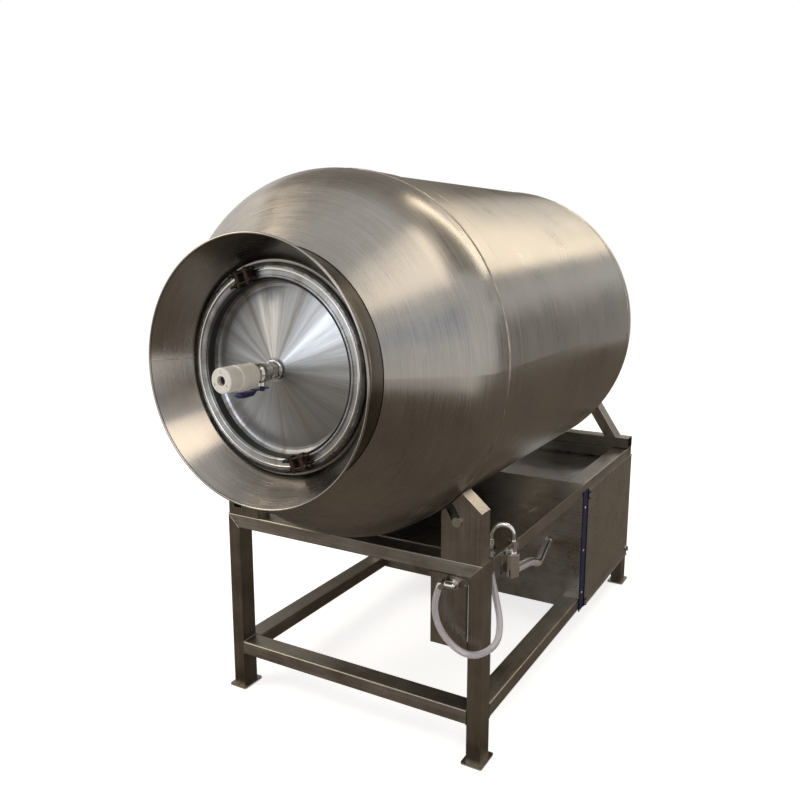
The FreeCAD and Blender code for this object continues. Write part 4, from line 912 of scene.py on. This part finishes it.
class OBJECT_OT_tumbler_collar(bpy.types.Operator):
    """Flared splash collar with its rolled rim and weld"""
    bl_idname = "object.tumbler_collar"
    bl_label = "Collar"

    def execute(self, context):
        low, high = COLLAR_LOW, COLLAR_HIGH
        rim_r = high.x - RIM_REACH
        rim_y = low.y + RIM_REACH
        root_r = COLLAR_ROOT_R
        deselect()
        bpy.ops.mesh.primitive_cone_add(
            vertices=192, radius1=rim_r, radius2=root_r, depth=high.y - rim_y, end_fill_type="NOTHING",
            location=(0, (rim_y + high.y) / 2, AXIS_Z), rotation=(math.radians(-90), 0, 0))
        cone = bpy.context.view_layer.objects.active
        only(cone)
        bpy.ops.object.transform_apply(location=True, rotation=True, scale=True)
        modifier = cone.modifiers.new("sheet", "SOLIDIFY")
        modifier.thickness = COLLAR_SHEET
        modifier.offset = 0
        bpy.ops.object.modifier_apply(modifier=modifier.name)
        deselect()
        bpy.ops.mesh.primitive_torus_add(
            location=(0, rim_y, AXIS_Z), rotation=(math.radians(90), 0, 0), major_segments=192,
            minor_segments=14, major_radius=rim_r, minor_radius=RIM_SECTION)
        rim = bpy.context.view_layer.objects.active
        collar = settle(join([cone, rim]), "splash_collar_flared", finish("collar"), "drum", 40)
        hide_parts("splash_collar")
        root = hoop(root_r + 0.002, high.y - 0.001, 0.0025)
        seam = bead(around(root_r - 0.001, 178, high.y - 0.004),
                    around(rim_r - 0.003, 178, rim_y + 0.002), 0.0016)
        settle(join([root, seam]), "collar_welds", finish("weld"), "drum")
        return {"FINISHED"}


class OBJECT_OT_tumbler_valve(bpy.types.Operator):
    """Grip on the valve's lever, flange at the nipple's root, and a black seal in the coupling that also darkens
    its bore as painted shade
    """
    bl_idname = "object.tumbler_valve"
    bl_label = "Valve"

    def execute(self, context):
        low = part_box("valve_lever")[0]
        deselect()
        bpy.ops.mesh.primitive_cube_add(size=1, location=(0, low.y + 0.024, low.z + 0.0065))
        grip = bpy.context.view_layer.objects.active
        grip.scale = (0.0215, 0.050, 0.0085)
        only(grip)
        bpy.ops.object.transform_apply(location=True, rotation=True, scale=True)
        bpy.ops.object.mode_set(mode="EDIT")
        bpy.ops.mesh.select_all(action="SELECT")
        bpy.ops.mesh.bevel(offset=0.0035, segments=4, affect="EDGES")
        bpy.ops.object.mode_set(mode="OBJECT")
        settle(grip, "lever_grip", finish("lever"), "valve_lever")
        flange_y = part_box("lid_plate")[0].y + 0.0035
        flange = spun_ring(0.0135, 0.0235, flange_y - 0.007, flange_y - 0.001, 0.0012)
        settle(flange, "nipple_flange", finish("chrome"), "lid")
        # A rubber seal at the bottom of the coupling's socket, black so that it also stands as painted shade in
        # the bore.
        nose_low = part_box("coupling_nose")[0]
        seal = spun_ring(0.0055, 0.0108, nose_low.y + 0.011, nose_low.y + 0.0138, 0.0004)
        settle(seal, "coupling_bore_painted_shade_seal", finish("rubber"), "coupling_nose")
        return {"FINISHED"}


class OBJECT_OT_tumbler_fasteners(bpy.types.Operator):
    """Domed screws that show on the door post strip"""
    bl_idname = "object.tumbler_fasteners"
    bl_label = "Fasteners"

    def execute(self, context):
        strip_low, strip_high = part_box("door_post_strip")
        from_end = 0.06
        middle = (strip_low.z + strip_high.z) / 2
        screws = []
        for z in (strip_low.z + from_end, middle, strip_high.z - from_end):
            screws.append(dome_screw((strip_low.x + 0.0021, strip_low.y + 0.025, z), (1, 0, 0), 0.005))
        settle(join(screws), "strip_screws", finish("bright"), "frame")
        return {"FINISHED"}


class VIEW3D_PT_tumbler(bpy.types.Panel):
    """Sidebar list of the tumbler's steps"""
    bl_idname = "VIEW3D_PT_tumbler"
    bl_label = "Vacuum tumbler"
    bl_space_type = "VIEW_3D"
    bl_region_type = "UI"
    bl_category = "Tumbler"

    def draw(self, context):
        for step in STEPS:
            self.layout.operator(step.bl_idname)
        for name in GROUPS:
            group = getattr(context.scene, name)
            for key in group.__annotations__:
                self.layout.prop(group, key)


GROUPS = {
    "tumbler_surfaces": TumblerSurfaces,
    "tumbler_hoses": TumblerHoses,
    "tumbler_welds": TumblerWelds,
    "tumbler_studio": TumblerStudio,
}
STEPS = [
    OBJECT_OT_tumbler_stage,
    OBJECT_OT_tumbler_surfaces,
    OBJECT_OT_tumbler_hoses,
    OBJECT_OT_tumbler_welds,
    OBJECT_OT_tumbler_collar,
    OBJECT_OT_tumbler_clamp,
    OBJECT_OT_tumbler_valve,
    OBJECT_OT_tumbler_fasteners,
]


def register():
    for group in GROUPS.values():
        bpy.utils.register_class(group)
    for name, group in GROUPS.items():
        setattr(bpy.types.Scene, name, PointerProperty(type=group))
    for step in STEPS:
        bpy.utils.register_class(step)
    bpy.utils.register_class(VIEW3D_PT_tumbler)


def unregister():
    bpy.utils.unregister_class(VIEW3D_PT_tumbler)
    for step in reversed(STEPS):
        bpy.utils.unregister_class(step)
    for name in GROUPS:
        delattr(bpy.types.Scene, name)
    for group in GROUPS.values():
        bpy.utils.unregister_class(group)


def main():
    register()
    bpy.context.scene.view_settings.view_transform = "Standard"
    for step in STEPS:
        family, call = step.bl_idname.split(".")
        getattr(getattr(bpy.ops, family), call)()


if __name__ == "__main__":
    main()
